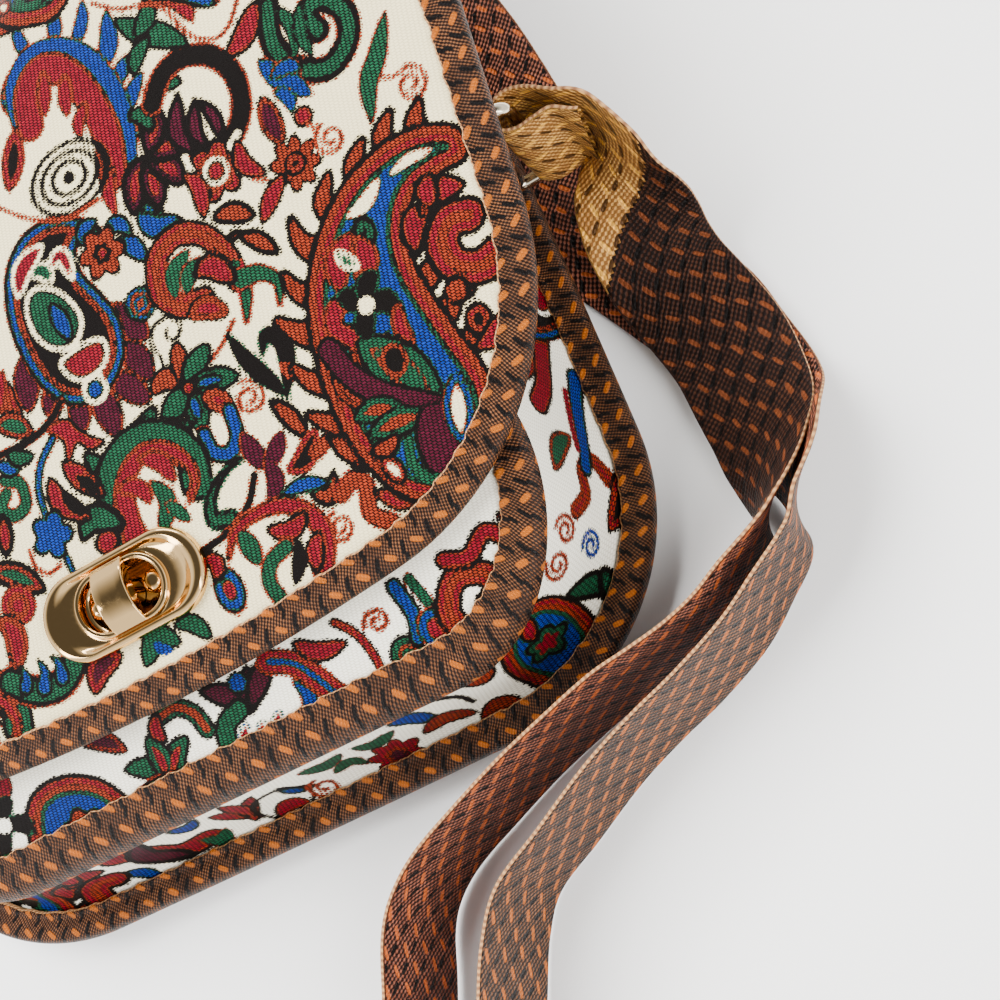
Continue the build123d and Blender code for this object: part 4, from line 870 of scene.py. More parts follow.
def inset(curve, distance):
    # a curve moved to its left side by a distance along smoothed normals
    way = np.gradient(curve, axis=0)
    way /= np.linalg.norm(way, axis=1)[:, None]
    for turn in range(3):
        way[1:-1] = (way[:-2] + 2 * way[1:-1] + way[2:]) / 4
    way /= np.linalg.norm(way, axis=1)[:, None]
    return curve + np.asarray(distance)[..., None] * np.stack([-way[:, 1], way[:, 0]], -1)


def graded(spans):
    # shares from 0 to 1 whose steps follow the cell size asked for on each span of length
    edges, start = [np.zeros(1)], 0.0
    for length, cell in spans:
        count = max(2, int(round(length / cell)))
        edges.append(start + np.arange(1, count + 1) / count * length)
        start += length
    return np.concatenate(edges) / start


def panelEdges(halfEdge, corner):
    # low, right and high edge of a panel, from the right half of its outline and the middle of its low corner
    lowRight, right = halfEdge[:corner + 1], halfEdge[corner:]
    high = np.stack([np.linspace(-right[-1, 0], right[-1, 0], 50), np.full(50, right[-1, 1])], -1)
    return np.concatenate([mirrored(lowRight)[:0:-1], lowRight]), right, high


low, right, high = panelEdges(inset(flapEdge, np.full(len(flapEdge), bag["seamGap"])), flapCorner)
lowLength = np.linalg.norm(np.diff(low, axis=0), axis=1).sum()
rightLength = np.linalg.norm(np.diff(right, axis=0), axis=1).sum()
alongShares = graded([((1 - flap["fineShare"]) * lowLength, flap["wideCell"]),
                      (flap["fineShare"] * lowLength, flap["fineCell"])])
upShares = graded([(rightLength - flap["topLength"], flap["fineCell"]),
                   (flap["topLength"], flap["topCell"])])
flapMap = patch(low, right, high, alongShares, upShares)
print("flap grid", flapMap.shape)


def stadiumDistance(x, v, length, width):
    # the distance to the straight middle line, less half the width
    half = (length - width) / 2
    return np.hypot(np.maximum(np.abs(x) - half, 0), v) - width / 2


def clothRelief(x, v):
    # the stuffed cloth swells and sinks by fractions of a millimetre over hand-sized waves
    slow = 0.35 * np.sin(x / 23 + v / 41) * np.sin(v / 29 - x / 57 + 0.8) - 0.2
    return slow + 0.12 * np.sin(x / 9.1 - v / 12.7)


def dyedLayers(points, plainCount, *copies):
    # the two attribute layers of a cloth, three fields in each: the face is dyed with each copy of a drawing,
    # and the points of its lining stay plain
    fields = np.full((len(points), len(threads)), farAway)
    for copy in copies:
        weave(fields, points, *copy)
    fields = np.concatenate([fields, np.full((plainCount, len(threads)), farAway)])
    one = np.ones((len(fields), 1))
    return {"dyeFirst": np.concatenate([fields[:, :3], one], 1),
            "dyeSecond": np.concatenate([fields[:, 3:], one], 1)}


def clothSide(flatMap, points, turn=1, hole=None):
    # one side of a cloth: its map, points and quads, less the quads with a corner in the hole; turn -1 turns
    # them over
    quads = gridQuads(*flatMap.shape[:2])
    if hole:
        quads = quads[(hole(flatMap.reshape(-1, 2)) > 0)[quads].all(1)]
    return flatMap, points, quads[:, ::turn]


def clothPiece(name, face, lining, cloth, node, *copies):
    # one piece from the two sides of a cloth, the face dyed with copies of drawings
    points, quads = joined([face[1:], lining[1:]])
    faceMap, liningMap = face[0].reshape(-1, 2), lining[0].reshape(-1, 2)
    faceSlots = np.repeat([0, 1], [len(face[2]), len(lining[2])])
    makePiece(name, points, quads, "bag", [cloth, liningCloth],
              np.concatenate([faceMap, liningMap]), dyedLayers(faceMap, len(liningMap), *copies), faceSlots,
              [node])


slotHole = lambda p: stadiumDistance(p[:, 0], p[:, 1], *flap["slot"])
x, v = flapMap[..., 0], flapMap[..., 1]
flapFace = clothSide(flapMap, clothPoint(x, v, clothRelief(x, v)), 1, slotHole)
coarse = patch(low, right, high, *(np.linspace(0, 1, count) for count in flap["inside"]))
flapInside = clothSide(coarse, clothPoint(coarse[..., 0], coarse[..., 1], -flap["cloth"]), -1, slotHole)

# The part of the flap that the photograph shows: right of a line through these places, and below its top
seen = {"levels": (5, 121), "left": (-34, 20), "top": 124, "margin": (5, 0)}


def seenOnFlap(middle):
    # true where a figure's middle lies in the seen part
    return middle[0] > np.interp(middle[1], seen["levels"], seen["left"]) and middle[1] < seen["top"]


def outsideOf(left, right, low, high):
    # a test that holds outside a box, and inside it where the seen drawing lies
    return lambda m: seenOnFlap(m + seen["margin"]) or not (left < m[0] < right and low < m[1] < high)


clothPiece("flapCloth", flapFace, flapInside, paisleyCloth, "flap",
           (flapDrawing, (-36, 48), outsideOf(-44, 20, 74, 138)),
           (flapDrawing, (-60, 0), outsideOf(-37, 20, 24, 74)),
           (flapDrawing, (-112, 98), outsideOf(-118, -12, 124, 142)),
           (flapDrawing, (-62, -28), outsideOf(-56, -16, -30, 24)), (flapDrawing,),
           *((flapDrawing, move, seenOnFlap) for move in flap["repeats"]))
print("flap ready")

# Bindings: a folded ribbon whose section goes from its upper inner edge over the seam to its lower one. Its
# inner edges wave a little where the coarse threads catch the stitches.
binding = {"width": 7.5, "roll": 1.5, "lift": 0.9, "lowLift": 0.8, "wavy": 0.85,
           "waves": ((0.16, 6.9, 0.0), (0.12, 4.3, 1.0), (0.08, 2.6, 2.0)), "step": 1.0,
           "crown": [(1, -0.75), (0.98, -0.2), (0.92, 0.12), (0.85, 0.3), (0.77, 0.1), (0.68, -0.16),
                     (0.53, 0.02), (0.33, 0.14), (0.15, 0.12), (0, 0)]}


def ribbonSection(top, bottom):
    # (inset, out) points of the section and their way across the ribbon: a crowned upper side, a half turn
    # over the edge, and the upper side again, mirrored, underneath
    roll = np.linspace(0, math.pi, 13)[1:-1]
    half, middle = (top - bottom) / 2, (top + bottom) / 2
    upper = np.array(binding["crown"]) * [binding["width"] - binding["roll"], 1] + [binding["roll"], top]
    edge = np.stack([binding["roll"] * (1 - np.sin(roll)), middle + half * np.cos(roll)], -1)
    lower = upper[::-1] * [1, -1] + [0, top + bottom]
    section = np.concatenate([upper, edge, lower])
    return section, runOf(section)


def ribbonAlong(name, surface, run, top, bottom, node, closed=False):
    # surface(insets, out) gives the points of the line at that inset and height; run is its length.
    # The inner edges wave by a sum of sines, and their last columns are selvedge.
    section, across = ribbonSection(top, bottom)
    wave = sum(size * np.sin(2 * math.pi * run / pitch + start) for size, pitch, start in binding["waves"])
    lines = []
    for (inward, out), share in zip(section, np.abs(np.linspace(-1, 1, len(section)))):
        lines.append(surface(inward + wave * (share > binding["wavy"]), out))
    points = np.stack(lines, 1)
    uv = np.stack(np.broadcast_arrays(run[:, None], across[None]), -1)
    quads = gridQuads(*points.shape[:2], closeRows=closed)
    column = np.tile(np.arange(len(section) - 1), len(quads) // (len(section) - 1))
    edgeSlots = np.where((column < 2) | (column > len(section) - 4), 1, 0)
    return makePiece(name, points, quads, "bag", [ribbonCloth, selvedgeAndGleam], uv, None,
                     edgeSlots, [node])


wholeEdge = np.concatenate([mirrored(flapEdge)[:0:-1], flapEdge])
edgeRun = runOf(wholeEdge)[-1]
wholeEdge = resample(wholeEdge, np.linspace(0, 1, int(edgeRun / binding["step"])))


def flapEdgeSurface(inward, out):
    # the flap's edge moved in, then laid on the cloth
    p = inset(wholeEdge, np.broadcast_to(inward, len(wholeEdge)))
    return clothPoint(p[:, 0], p[:, 1], out)


ribbonAlong("flapBinding", flapEdgeSurface, runOf(wholeEdge), binding["lift"],
            -flap["cloth"] - binding["lowLift"], "flap_binding")


# The body's outline at an inset: a core line plus what is left of the corner's radius along a direction out.
coreSteps = {"bottom": 59, "corner": 40, "side": 109, "topCorner": 23, "top": 59}


def coreRows(*columns):
    # columns of numbers side by side, a single number filling its column
    return np.stack(np.broadcast_arrays(*columns), -1)


def outlineCore(topLevel):
    # rows of a core point and its outward direction: bottom, low corner, side
    corner = np.linspace(0, math.pi / 2, coreSteps["corner"])
    low = np.linspace(0, 1, coreSteps["bottom"] + 1)[:-1]
    coreX = bag["halfWidth"] - bag["lowCorner"]
    coreY = bag["lowCorner"] - bag["halfHeight"]
    rise = np.linspace(coreY, topLevel, coreSteps["side"] + 1)[1:]
    arc = coreRows(coreX, coreY, np.sin(corner), -np.cos(corner))
    return np.concatenate([coreRows(low * coreX, coreY, 0.0, -1.0), arc, coreRows(coreX, rise, 1.0, 0.0)])


def bothSides(core):
    # the mirrored rows in reverse, then the rows
    return np.concatenate([(core * [-1, 1, -1, 1])[:0:-1], core])


def evenCore(core, step):
    # the core line resampled evenly along the outline itself
    run = runOf(core[:, :2] + bag["lowCorner"] * core[:, 2:])
    spots = np.linspace(0, run[-1], int(run[-1] / step))
    even = np.stack([np.interp(spots, run, column) for column in core.T], -1)
    even[:, 2:] /= np.linalg.norm(even[:, 2:], axis=1)[:, None]
    return even


def frontSeamPoint(core, inward, out):
    # on the front's surface, drawn in by the lean of the sides: height and place settle in a few turns
    table = sideView(lengthTable, out)
    z = np.full(len(core), 40.0)
    for turn in range(12):
        reach = bag["lowCorner"] - inward - (z - bag["rimLevel"]) * leanTan
        p = core[:, :2] + reach[:, None] * core[:, 2:]
        z = np.interp(p[:, 1], table[:, 0], table[:, 1])
    return np.concatenate([p, z[:, None]], 1)


frontCore = evenCore(bothSides(outlineCore(bag["mouthLevel"])), binding["step"])
frontLine = frontSeamPoint(frontCore, bag["frontTuck"], bag["frontOut"])
ribbonAlong("frontBinding", lambda inward, out: frontSeamPoint(frontCore, inward + bag["frontTuck"], out),
            runOf(frontLine), bag["frontOut"] + binding["lift"], bag["frontIn"] - binding["lift"],
            "front_binding")

# Front panel
front = {"fineCell": 0.7, "wideCell": 1.2, "topCell": 2.5, "fineShare": 0.67, "fineLength": 62.0,
         "bossHole": 2.8, "relief": 0.5, "inside": 61}
cornerAt = coreSteps["bottom"] + coreSteps["corner"] // 2
rim = frontSeamPoint(outlineCore(bag["mouthLevel"] - bag["seamGap"]), bag["frontTuck"] + bag["seamGap"],
                     bag["frontOut"])
rimMap = np.stack([rim[:, 0], lengthAtLevel(rim[:, 1], bag["frontOut"])], -1)
low, right, high = panelEdges(rimMap, cornerAt)
lowLength, rightLength = runOf(low)[-1], runOf(right)[-1]
alongShares = graded([((1 - front["fineShare"]) * lowLength, front["wideCell"]),
                      (front["fineShare"] * lowLength, front["fineCell"])])
upShares = graded([(front["fineLength"], front["fineCell"]),
                   (rightLength - front["fineLength"], front["topCell"])])
frontMap = patch(low, right, high, alongShares, upShares)
print("front grid", frontMap.shape)
bossHole = lambda p: np.hypot(p[:, 0], p[:, 1]) - front["bossHole"]
x, v = frontMap[..., 0], frontMap[..., 1]
relief = front["relief"] * clothRelief(x, v)
frontFace = clothSide(frontMap, clothPoint(x, v, bag["frontOut"] + relief), 1, bossHole)
coarseShares = np.linspace(0, 1, front["inside"])
coarse = patch(low, right, high, coarseShares, coarseShares)
frontInside = clothSide(coarse, clothPoint(coarse[..., 0], coarse[..., 1], bag["frontIn"]), -1, bossHole)
# the front takes the cloth with painted light in its whiter ground
clothPiece("frontCloth", frontFace, frontInside, paintedLightCloth, "front_panel", (frontDrawing,),
           (flapDrawing, (-30, -118), lambda m: m[0] > -50 and m[1] > -46),
           (flapDrawing, (-128, -60), lambda m: m[0] > -50))

# Mouth binding on the front panel's upper edge
mouth = {"short": 9.6, "steps": 140}
mouthHalf = float(right[-1, 0]) - mouth["short"]
mouthX = np.linspace(-mouthHalf, mouthHalf, mouth["steps"])
mouthV = float(right[-1, 1]) + bag["seamGap"]


def mouthSurface(inward, out):
    # the upper edge moved down by the inset
    return clothPoint(mouthX, np.broadcast_to(mouthV - inward, len(mouthX)), out)


ribbonAlong("mouthBinding", mouthSurface, mouthX - mouthX[0], bag["frontOut"] + binding["lowLift"],
            bag["frontIn"] - binding["lowLift"], "mouth_binding")


# Back: a bowed panel cut flat where it rests
back = {"cells": (270, 282), "inside": 61, "cloth": 2.4, "seam": (4.4, -0.8),
        "repeats": ((0, -20), (-133, -16), (-40, 116), (-20, -142), (-150, -130), (96, -126))}


def backHeight(x, y, out):
    # a sphere about a high middle, cut flat at the floor; out is measured up from the outer face
    drop = np.sqrt((bag["backBow"] - out) ** 2 - x ** 2 - y ** 2)
    return np.maximum(bag["backBow"] - bag["restDepth"] - drop, 0.0)


def backCore():
    # rows as in outlineCore, then top corner and top; each row's corner radius beside them
    low = outlineCore(bag["halfHeight"] - bag["topCorner"])
    turn = np.linspace(0, math.pi / 2, coreSteps["topCorner"] + 1)[1:]
    x, y = bag["halfWidth"] - bag["topCorner"], bag["halfHeight"] - bag["topCorner"]
    topX = np.linspace(x, 0, coreSteps["top"] + 1)[1:]
    top = np.concatenate([coreRows(x, y, np.cos(turn), np.sin(turn)), coreRows(topX, y, 0.0, 1.0)])
    return np.concatenate([low, top]), np.repeat([bag["lowCorner"], bag["topCorner"]], [len(low), len(top)])


backHalf, backRadius = backCore()
backLoop = np.concatenate([(backHalf * [-1, 1, -1, 1])[-2:0:-1], backHalf])
backRadii = np.concatenate([backRadius[-2:0:-1], backRadius])


def backSeamPoint(inward, out):
    # the core plus the radius that is left, at the back's height
    p = backLoop[:, :2] + (backRadii - inward)[:, None] * backLoop[:, 2:]
    return np.concatenate([p, backHeight(p[:, 0], p[:, 1], out)[:, None]], 1)


backRun = runOf(backSeamPoint(0.0, 0.0))
ribbonAlong("backBinding", backSeamPoint, backRun, *back["seam"], "back_binding", closed=True)

topAt = coreSteps["bottom"] + coreSteps["corner"] + coreSteps["side"] + coreSteps["topCorner"] // 2
rim = backHalf[:, :2] + (backRadius - bag["seamGap"])[:, None] * backHalf[:, 2:]
low, right, _ = panelEdges(rim[:topAt + 1], cornerAt)
high = np.concatenate([mirrored(rim[topAt:]), rim[topAt:][-2::-1]])
backMap = patch(low, right, high, *(np.linspace(0, 1, count) for count in back["cells"]))
coarseShares = np.linspace(0, 1, back["inside"])
coarse = patch(low, right, high, coarseShares, coarseShares)
outer = np.concatenate([backMap, backHeight(backMap[..., 0], backMap[..., 1], 0.0)[..., None]], -1)
inner = np.concatenate([coarse, backHeight(coarse[..., 0], coarse[..., 1], back["cloth"])[..., None]], -1)
clothPiece("backCloth", clothSide(backMap * [-1, 1], outer, -1), clothSide(coarse, inner), paisleyCloth,
           "back_panel", *((flapDrawing, move) for move in back["repeats"]))

# Gusset: a wall that leans in from the back seam to the front seam, bulged a little between them
gusset = {"top": 60.0, "bulge": 1.2, "flare": 3.0, "cloth": 1.8, "cell": 0.75, "rows": 62, "flarePower": 9,
          "foot": 40.0, "mapRadius": 37.1, "insideStep": (6, 4)}
wallCore = evenCore(bothSides(outlineCore(gusset["top"])), gusset["cell"])
low = backHeight(*(wallCore[:, :2] + gusset["foot"] * wallCore[:, 2:]).T, back["cloth"])
high = frontSeamPoint(wallCore, bag["flange"], bag["frontIn"])[:, 2]
share = np.linspace(0, 1, gusset["rows"])[:, None]


def gussetWall(inward):
    # from the back seam up to the front seam, in by the lean, out by a half sine and by a flare at both seams
    z = low + share * (high - low)
    reach = bag["lowCorner"] - bag["flange"] - inward - (z - bag["rimLevel"]) * leanTan
    flare = (1 - share) ** gusset["flarePower"] + share ** gusset["flarePower"]
    reach = reach + gusset["bulge"] * np.sin(math.pi * share) + gusset["flare"] * flare
    p = wallCore[None, :, :2] + reach[..., None] * wallCore[None, :, 2:]
    return np.concatenate([p, z[..., None]], -1)


outer, inner = gussetWall(0.0), gussetWall(gusset["cloth"])
# the map runs from the bottom's middle: along the bottom, round the corner and up the side
flatHalf, sideFoot = bag["halfWidth"] - bag["lowCorner"], bag["lowCorner"] - bag["halfHeight"]
onCorner = flatHalf + gusset["mapRadius"] * np.arcsin(np.abs(wallCore[:, 2]))
onSide = flatHalf + gusset["mapRadius"] * math.pi / 2 + wallCore[:, 1] - sideFoot
wallRun = np.where(np.abs(wallCore[:, 2]) < 1e-9, np.abs(wallCore[:, 0]), onCorner)
wallRun = np.where(wallCore[:, 1] > sideFoot, onSide, wallRun) * np.sign(wallCore[:, 0] + 1e-9)
gussetMap = np.stack(np.broadcast_arrays(wallRun[None], outer[..., 2]), -1)
rowStep, columnStep = gusset["insideStep"]
inside = clothSide(gussetMap[::rowStep, ::columnStep], inner[::rowStep, ::columnStep], -1)
# the gusset takes the cloth with painted light in its whiter ground
clothPiece("gussetCloth", clothSide(gussetMap, outer), inside, paintedLightCloth, "gusset", (gussetDrawing,),
           (flapDrawing, (140, -40), lambda m: m[0] < 140),
           (flapDrawing, (-150, -20), lambda m: m[0] > -50),
           (flapDrawing, (-262, -40), lambda m: m[0] > -150))
print("cloth ready")


def flatRibbon(middle, edge, width, cloth, roundness, columns):
    # a flat section carried along a line; edge points across the ribbon
    way = np.gradient(middle, axis=0)
    way /= np.linalg.norm(way, axis=1)[:, None]
    edge = edge - (edge * way).sum(1)[:, None] * way
    edge = edge / np.linalg.norm(edge, axis=1)[:, None]
    face = np.cross(way, edge)
    flat = np.linspace(-1, 1, columns) * (width / 2 - roundness)
    roll = np.linspace(0, math.pi, 5)[1:-1]
    faceLine = np.stack([flat, np.full(columns, cloth / 2)], -1)
    edgeRoll = np.stack([width / 2 - roundness + roundness * np.sin(roll), cloth / 2 * np.cos(roll)], -1)
    section = np.concatenate([faceLine, edgeRoll, -faceLine, -edgeRoll])
    points = middle[:, None] + section[None, :, :1] * edge[:, None] + section[None, :, 1:] * face[:, None]
    uv = np.stack(np.broadcast_arrays(runOf(middle)[:, None], section[None, :, 0] + width / 2), -1)
    return points, uv, gridQuads(*points.shape[:2], closeColumns=True)


# Strap: one ribbon laid on its way, with its two ends wrapped round the ring bars.
# Each row is x, length from the lock, height of its middle, and where its upper edge points; it points up
# where nothing is said.
# dark: the row where the painted light of the arch gives way to painted shade, its slant across the width,
# and the row where the painted shade ends
strap = {"width": 27.0, "cloth": 1.0, "columns": 25, "steps": 9, "round": 0.5, "dark": (1.8, 3.6, 12.0)}
strapTail = [(125.2, 49.8, 30.6, 0.1, 0.06, 1), (122.0, 53.2, 31), (118.0, 53.2, 31), (114.0, 53.0, 31),
             (110.4, 54.8, 31), (109.6, 57.8, 31), (111.2, 60.8, 31), (114.6, 62.0, 31),
             (118.6, 60.8, 31)]
strapRoute = [
    (123.2, 56.6, 31, 0.04, 0.02, 1), (126.8, 53, 30.4, 0.15, 0.08, 1), (128, 47.5, 27.8, 0.38, 0.14, 0.9),
    (127, 41.8, 22.8, 0.6, 0.2, 0.75), (125.4, 36.4, 16.6, 0.78, 0.26, 0.54),
    (124.4, 30.6, 10.6, 0.9, 0.3, 0.3), (125, 23.4, 6.8, 0.94, 0.31, 0.1), (127.5, 14, 5.4, 0.96, 0.28, 0),
    (129.6, 4, 5.2, 0.97, 0.2, 0.03), (130, -6, 6.2, 0.98, 0.1, 0.12), (129.8, -15, 8.6, 0.93, 0, 0.32),
    (127.6, -24, 11.8, 0.72, -0.15, 0.66), (124.2, -32.5, 13.6, 0.35, -0.2, 0.9),
    (120.5, -39, 14, 0.05, 0, 1), (113, -44.5, 13.8, -0.06, 0.12, 0.98),
    (106, -48.5, 13.7, -0.07, 0.15, 0.98), (98, -51.2, 13.7, -0.07, 0.16, 0.98),
    (89, -52.8, 13.7, -0.07, 0.16, 0.98), (80, -54.2, 13.7, -0.07, 0.16, 0.98),
    (68, -57.6, 13.7, -0.08, 0.15, 0.98), (56, -61.5, 13.7, -0.08, 0.15, 0.98),
    (43.5, -66.5, 13.7, -0.09, 0.15, 0.98), (32, -71.6, 13.7, -0.1, 0.14, 0.98),
    (24.5, -77, 13.7, -0.12, 0.11, 0.98), (19.8, -83.5, 13.7, -0.14, 0.08, 0.98),
    (16, -94, 13.8, -0.15, 0.06, 0.98), (11.5, -106, 13.9, -0.12, 0.05, 0.99),
    (5, -120, 14, -0.05, 0.02, 1), (-4, -140, 14), (-13, -162, 14), (-18.5, -180, 14), (-18, -195, 14),
    (-9, -205, 14), (3.5, -206, 14), (13, -197, 14), (17, -182, 14), (19, -164, 14), (22, -146, 14),
    (26, -129, 14, -0.05, 0.02, 1), (29.5, -116, 13.9, -0.12, 0.05, 0.99),
    (34.5, -103.5, 13.8, -0.15, 0.06, 0.98), (39.8, -92.5, 13.7, -0.14, 0.08, 0.98),
    (46.5, -84, 13.7, -0.11, 0.12, 0.98), (58.5, -77.5, 13.7, -0.09, 0.14, 0.98),
    (72.5, -70, 13.7, -0.08, 0.15, 0.98), (84.5, -65, 13.7, -0.07, 0.16, 0.98),
    (96, -61, 13.7, -0.07, 0.16, 0.98), (108.5, -55.5, 13.8, -0.07, 0.14, 0.98),
    (117.5, -49.5, 13.9, -0.05, 0.1, 0.98), (126, -43, 13.9, 0, 0.05, 1), (129, -35.4, 13.8, 0.22, 0, 0.96),
    (132.4, -26, 11.8, 0.6, 0, 0.78), (132.8, -16, 6.8, 0.9, 0.05, 0.38), (131.6, -6, 3, 0.985, 0.1, 0.1),
    (129.8, 4, 1.7, 0.97, 0.2, 0.01), (128, 14, 1.4, 0.96, 0.28, 0), (123.6, 23.4, 1.4, 0.93, 0.36, 0),
    (118.4, 33.6, 1.4, 0.9, 0.43, 0), (112, 46, 1.4, 0.88, 0.46, 0), (108.6, 60, 1.4, 0.97, 0.2, 0),
    (106.8, 75, 1.4, 0.99, 0.12, 0), (105.4, 90, 1.4, 0.99, 0.12, 0), (103.4, 105, 1.4, 0.98, 0.18, 0),
    (100, 120, 1.4, 0.95, 0.3, 0), (94.6, 134, 1.5, 0.9, 0.43, 0), (86.6, 147.5, 1.7, 0.84, 0.54, 0.01),
    (76.5, 160, 1.9, 0.78, 0.62, 0.02), (67, 174, 3.4, 0.72, 0.6, 0.16), (58, 186, 9.6, 0.55, 0.5, 0.6),
    (44, 195.5, 13.6, 0.2, 0.22, 0.95), (22, 202, 14, 0.02, 0.05, 1), (-4, 204.5, 14), (-30, 203, 14),
    (-56, 197, 14), (-81, 186.5, 14), (-103, 171, 14.2), (-120, 150.5, 15.4), (-129.4, 127, 18.2),
    (-132.6, 104, 22.2), (-131.6, 84, 26.4), (-128.4, 69.4, 29.4), (-123.6, 60, 30.8),
]
strapEnd = [(-118.6, 60.6, 31), (-114.6, 62.0, 31), (-111.2, 60.8, 31), (-109.6, 57.8, 31),
            (-110.4, 54.8, 31), (-114.0, 53.0, 31), (-119.0, 53.4, 31), (-124.4, 56.4, 31),
            (-128.6, 62.2, 30.4)]
rows = np.array([(*row, 0, 0, 1)[:6] for row in strapTail + strapRoute + strapEnd], float)
rows[:, 1] += bag["lockLevel"]
strapLine = smoothCurve(rows, strap["steps"])
strapRun = runOf(strapLine[:, :3])
print("strap length", round(strapRun[-1]), "mm")
points, uv, quads = flatRibbon(strapLine[:, :3], strapLine[:, 3:], strap["width"], strap["cloth"],
                               strap["round"], strap["columns"])
columnOf = np.tile(np.arange(points.shape[1]), points.shape[0] - 1)
rowOf = np.repeat(np.arange(points.shape[0] - 1), points.shape[1]) / strap["steps"] - len(strapTail)
# painted light and shade: the arch by the ring takes the bright golden copy on both faces, the rows after it
# the dark copy on both faces, and the line between them runs slantwise, early at the outer edge and late at
# the inner one; further on each face has its own colour
edgeShare = np.tile(uv[0, :, 1], points.shape[0] - 1) / strap["width"]
shadeRow = strap["dark"][0] + strap["dark"][1] * (1 - edgeShare)
sideSlot = np.where(columnOf < strap["columns"], 4, 0)
faceSlots = np.where(rowOf < shadeRow, 3, np.where(rowOf < strap["dark"][2], 1, sideSlot))
# the upper edge roll takes the selvedge, whose pale tan there is partly selvedge and partly a painted
# highlight
faceSlots = np.where((columnOf >= strap["columns"]) & (columnOf < strap["columns"] + 2), 2, faceSlots)
# the reverse shows the weave the other way round
uv = np.where(np.arange(points.shape[1])[None, :, None] < strap["columns"] + 3, uv,
              uv * (1, -1) + (0, strap["width"]))
strapSlots = [strapRed, ribbonPaintedShade, selvedgeAndGleam, ribbonPaintedLight, strapGold]
strapPiece = makePiece("strapRibbon", points, quads, "bag", strapSlots, uv, None, faceSlots,
                       ["strap"])

# Turn lock. The plate is a profile carried round a stadium: rows of (end radius, half the middle line, out).
lock = {"rim": [(9.7, 10.7, 0.0), (9.72, 10.7, 0.7), (9.6, 10.7, 1.3), (9.3, 10.65, 1.85), (8.8, 10.5, 2.2),
                (8.3, 10.2, 2.28), (7.95, 9.6, 2.05), (7.75, 8.7, 1.6), (7.6, 7.7, 1.2), (7.45, 6.4, 0.95),
                (7.3, 5.2, 0.9), (7.22, 4.6, 1.0)],
        "collar": [(7.2, 4.4, 1.1), (7.2, 4.4, 1.9), (7.1, 4.4, 2.25), (6.8, 4.4, 2.48), (6.4, 4.4, 2.5),
                   (6.05, 4.4, 2.38), (5.85, 4.4, 2.0), (5.85, 4.4, -2.4), (5.95, 4.4, -2.4),
                   (5.95, 4.4, -0.02), (9.5, 10.7, -0.02)], "knob": (14.4, 8.0), "knobFoot": 2.6,
        "knobShoulder": 0.5, "knobHeight": 3.5, "knobRound": 0.45, "neck": 3.4, "neckFoot": -2.1,
        "rivetSpread": 6.9, "sharp": 48, "knobSharp": 40,
        "shank": [(1.1, -3.4), (1.1, -7.6), (1.7, -7.6), (1.5, -8.1), (0.02, -8.1)],
        "stem": [(2.5, -2.1), (2.5, -7.9), (3.8, -7.9), (3.8, -8.9), (0.02, -8.9)],
        "rivet": [(0.02, 1.0), (0.9, 0.95), (1.6, 0.7), (2.2, 0.2), (2.5, -0.5), (2.6, -1.4), (2.6, -3.4)]}


def stadiumTurn(profile, half=44):
    # each row goes round two half circles, one at each end of its centre line
    turn = np.radians(np.concatenate([np.linspace(-90, 90, half), np.linspace(90, 270, half)]))
    side = np.repeat([1.0, -1.0], half)
    radius, centre, out = np.asarray(profile, float).T[..., None]
    return clothPoint(side * centre + radius * np.cos(turn), radius * np.sin(turn), out)


def finePart(profile):
    # four steps in each span
    return smoothCurve(profile, 4)


plateProfile = np.concatenate([finePart(lock["rim"]), finePart(lock["collar"])])
platePoints = stadiumTurn(plateProfile)
plateQuads = gridQuads(*platePoints.shape[:2], closeRows=True, closeColumns=True)[:, ::-1]
plate = makePiece("lockPlate", platePoints, plateQuads, "bag", [goldPlate],
                  replaces=["lock_plate"])
plate.data.set_sharp_from_angle(angle=math.radians(lock["sharp"]))


def lathe(profile, middle, steps=40):
    # a profile of (radius, out) turned about the lock's direction at a place along the slot
    turn = np.linspace(0, 2 * math.pi, steps, endpoint=False)
    radius, out = np.asarray(profile, float).T[..., None]
    return clothPoint(middle + radius * np.cos(turn), radius * np.sin(turn), out)


for side, name in ((1, "right"), (-1, "left")):
    head = lathe(finePart(lock["rivet"]), side * lock["rivetSpread"])
    shank = lathe(lock["shank"], side * lock["rivetSpread"], 20)
    points, quads = joined([(part, gridQuads(*part.shape[:2], closeColumns=True))
                            for part in (head, shank)])
    rivet = makePiece(name + "RivetDome", points, quads, "bag", [goldPlate],
                      replaces=[name + "_lock_rivet"])
    rivet.data.set_sharp_from_angle(angle=math.radians(lock["sharp"]))


def knobArch():
    # rows along the lock's length v: the height of an arch from shoulder to crown, and in each row the
    # section across, up one side, round its edge, over the top and down the other side
    long, wide = lock["knob"][0] / 2, lock["knob"][1] / 2
    rise = lock["knobHeight"] - lock["knobShoulder"]
    radius = (long ** 2 + rise ** 2) / (2 * rise)
    turn = np.linspace(-1, 1, 61) * math.asin(min(1.0, long / radius))
    v = np.concatenate([[-long] * 3, radius * np.sin(turn), [long] * 3])
    top = lock["knobShoulder"] - (radius - rise) + radius * np.cos(turn)
    height = np.concatenate([[0, 0.5 * top[0], top[0]], top, [top[-1], 0.5 * top[-1], 0]])
    edge = np.linspace(0, math.pi / 2, 6)
    corner = np.stack([-wide + lock["knobRound"] * (1 - np.cos(edge)),
                       -lock["knobRound"] * (1 - np.sin(edge))], -1)
    half = np.concatenate([[[-wide, -99.0], [-wide, -1.2]], corner, [[-wide / 2, 0]]])
    section = np.concatenate([half, [[0, 0]], half[::-1] * [-1, 1]])
    out = np.maximum(height[:, None] + section[None, :, 1], 0) + lock["knobFoot"]
    return clothPoint(section[None, :, 0], v[:, None], out)


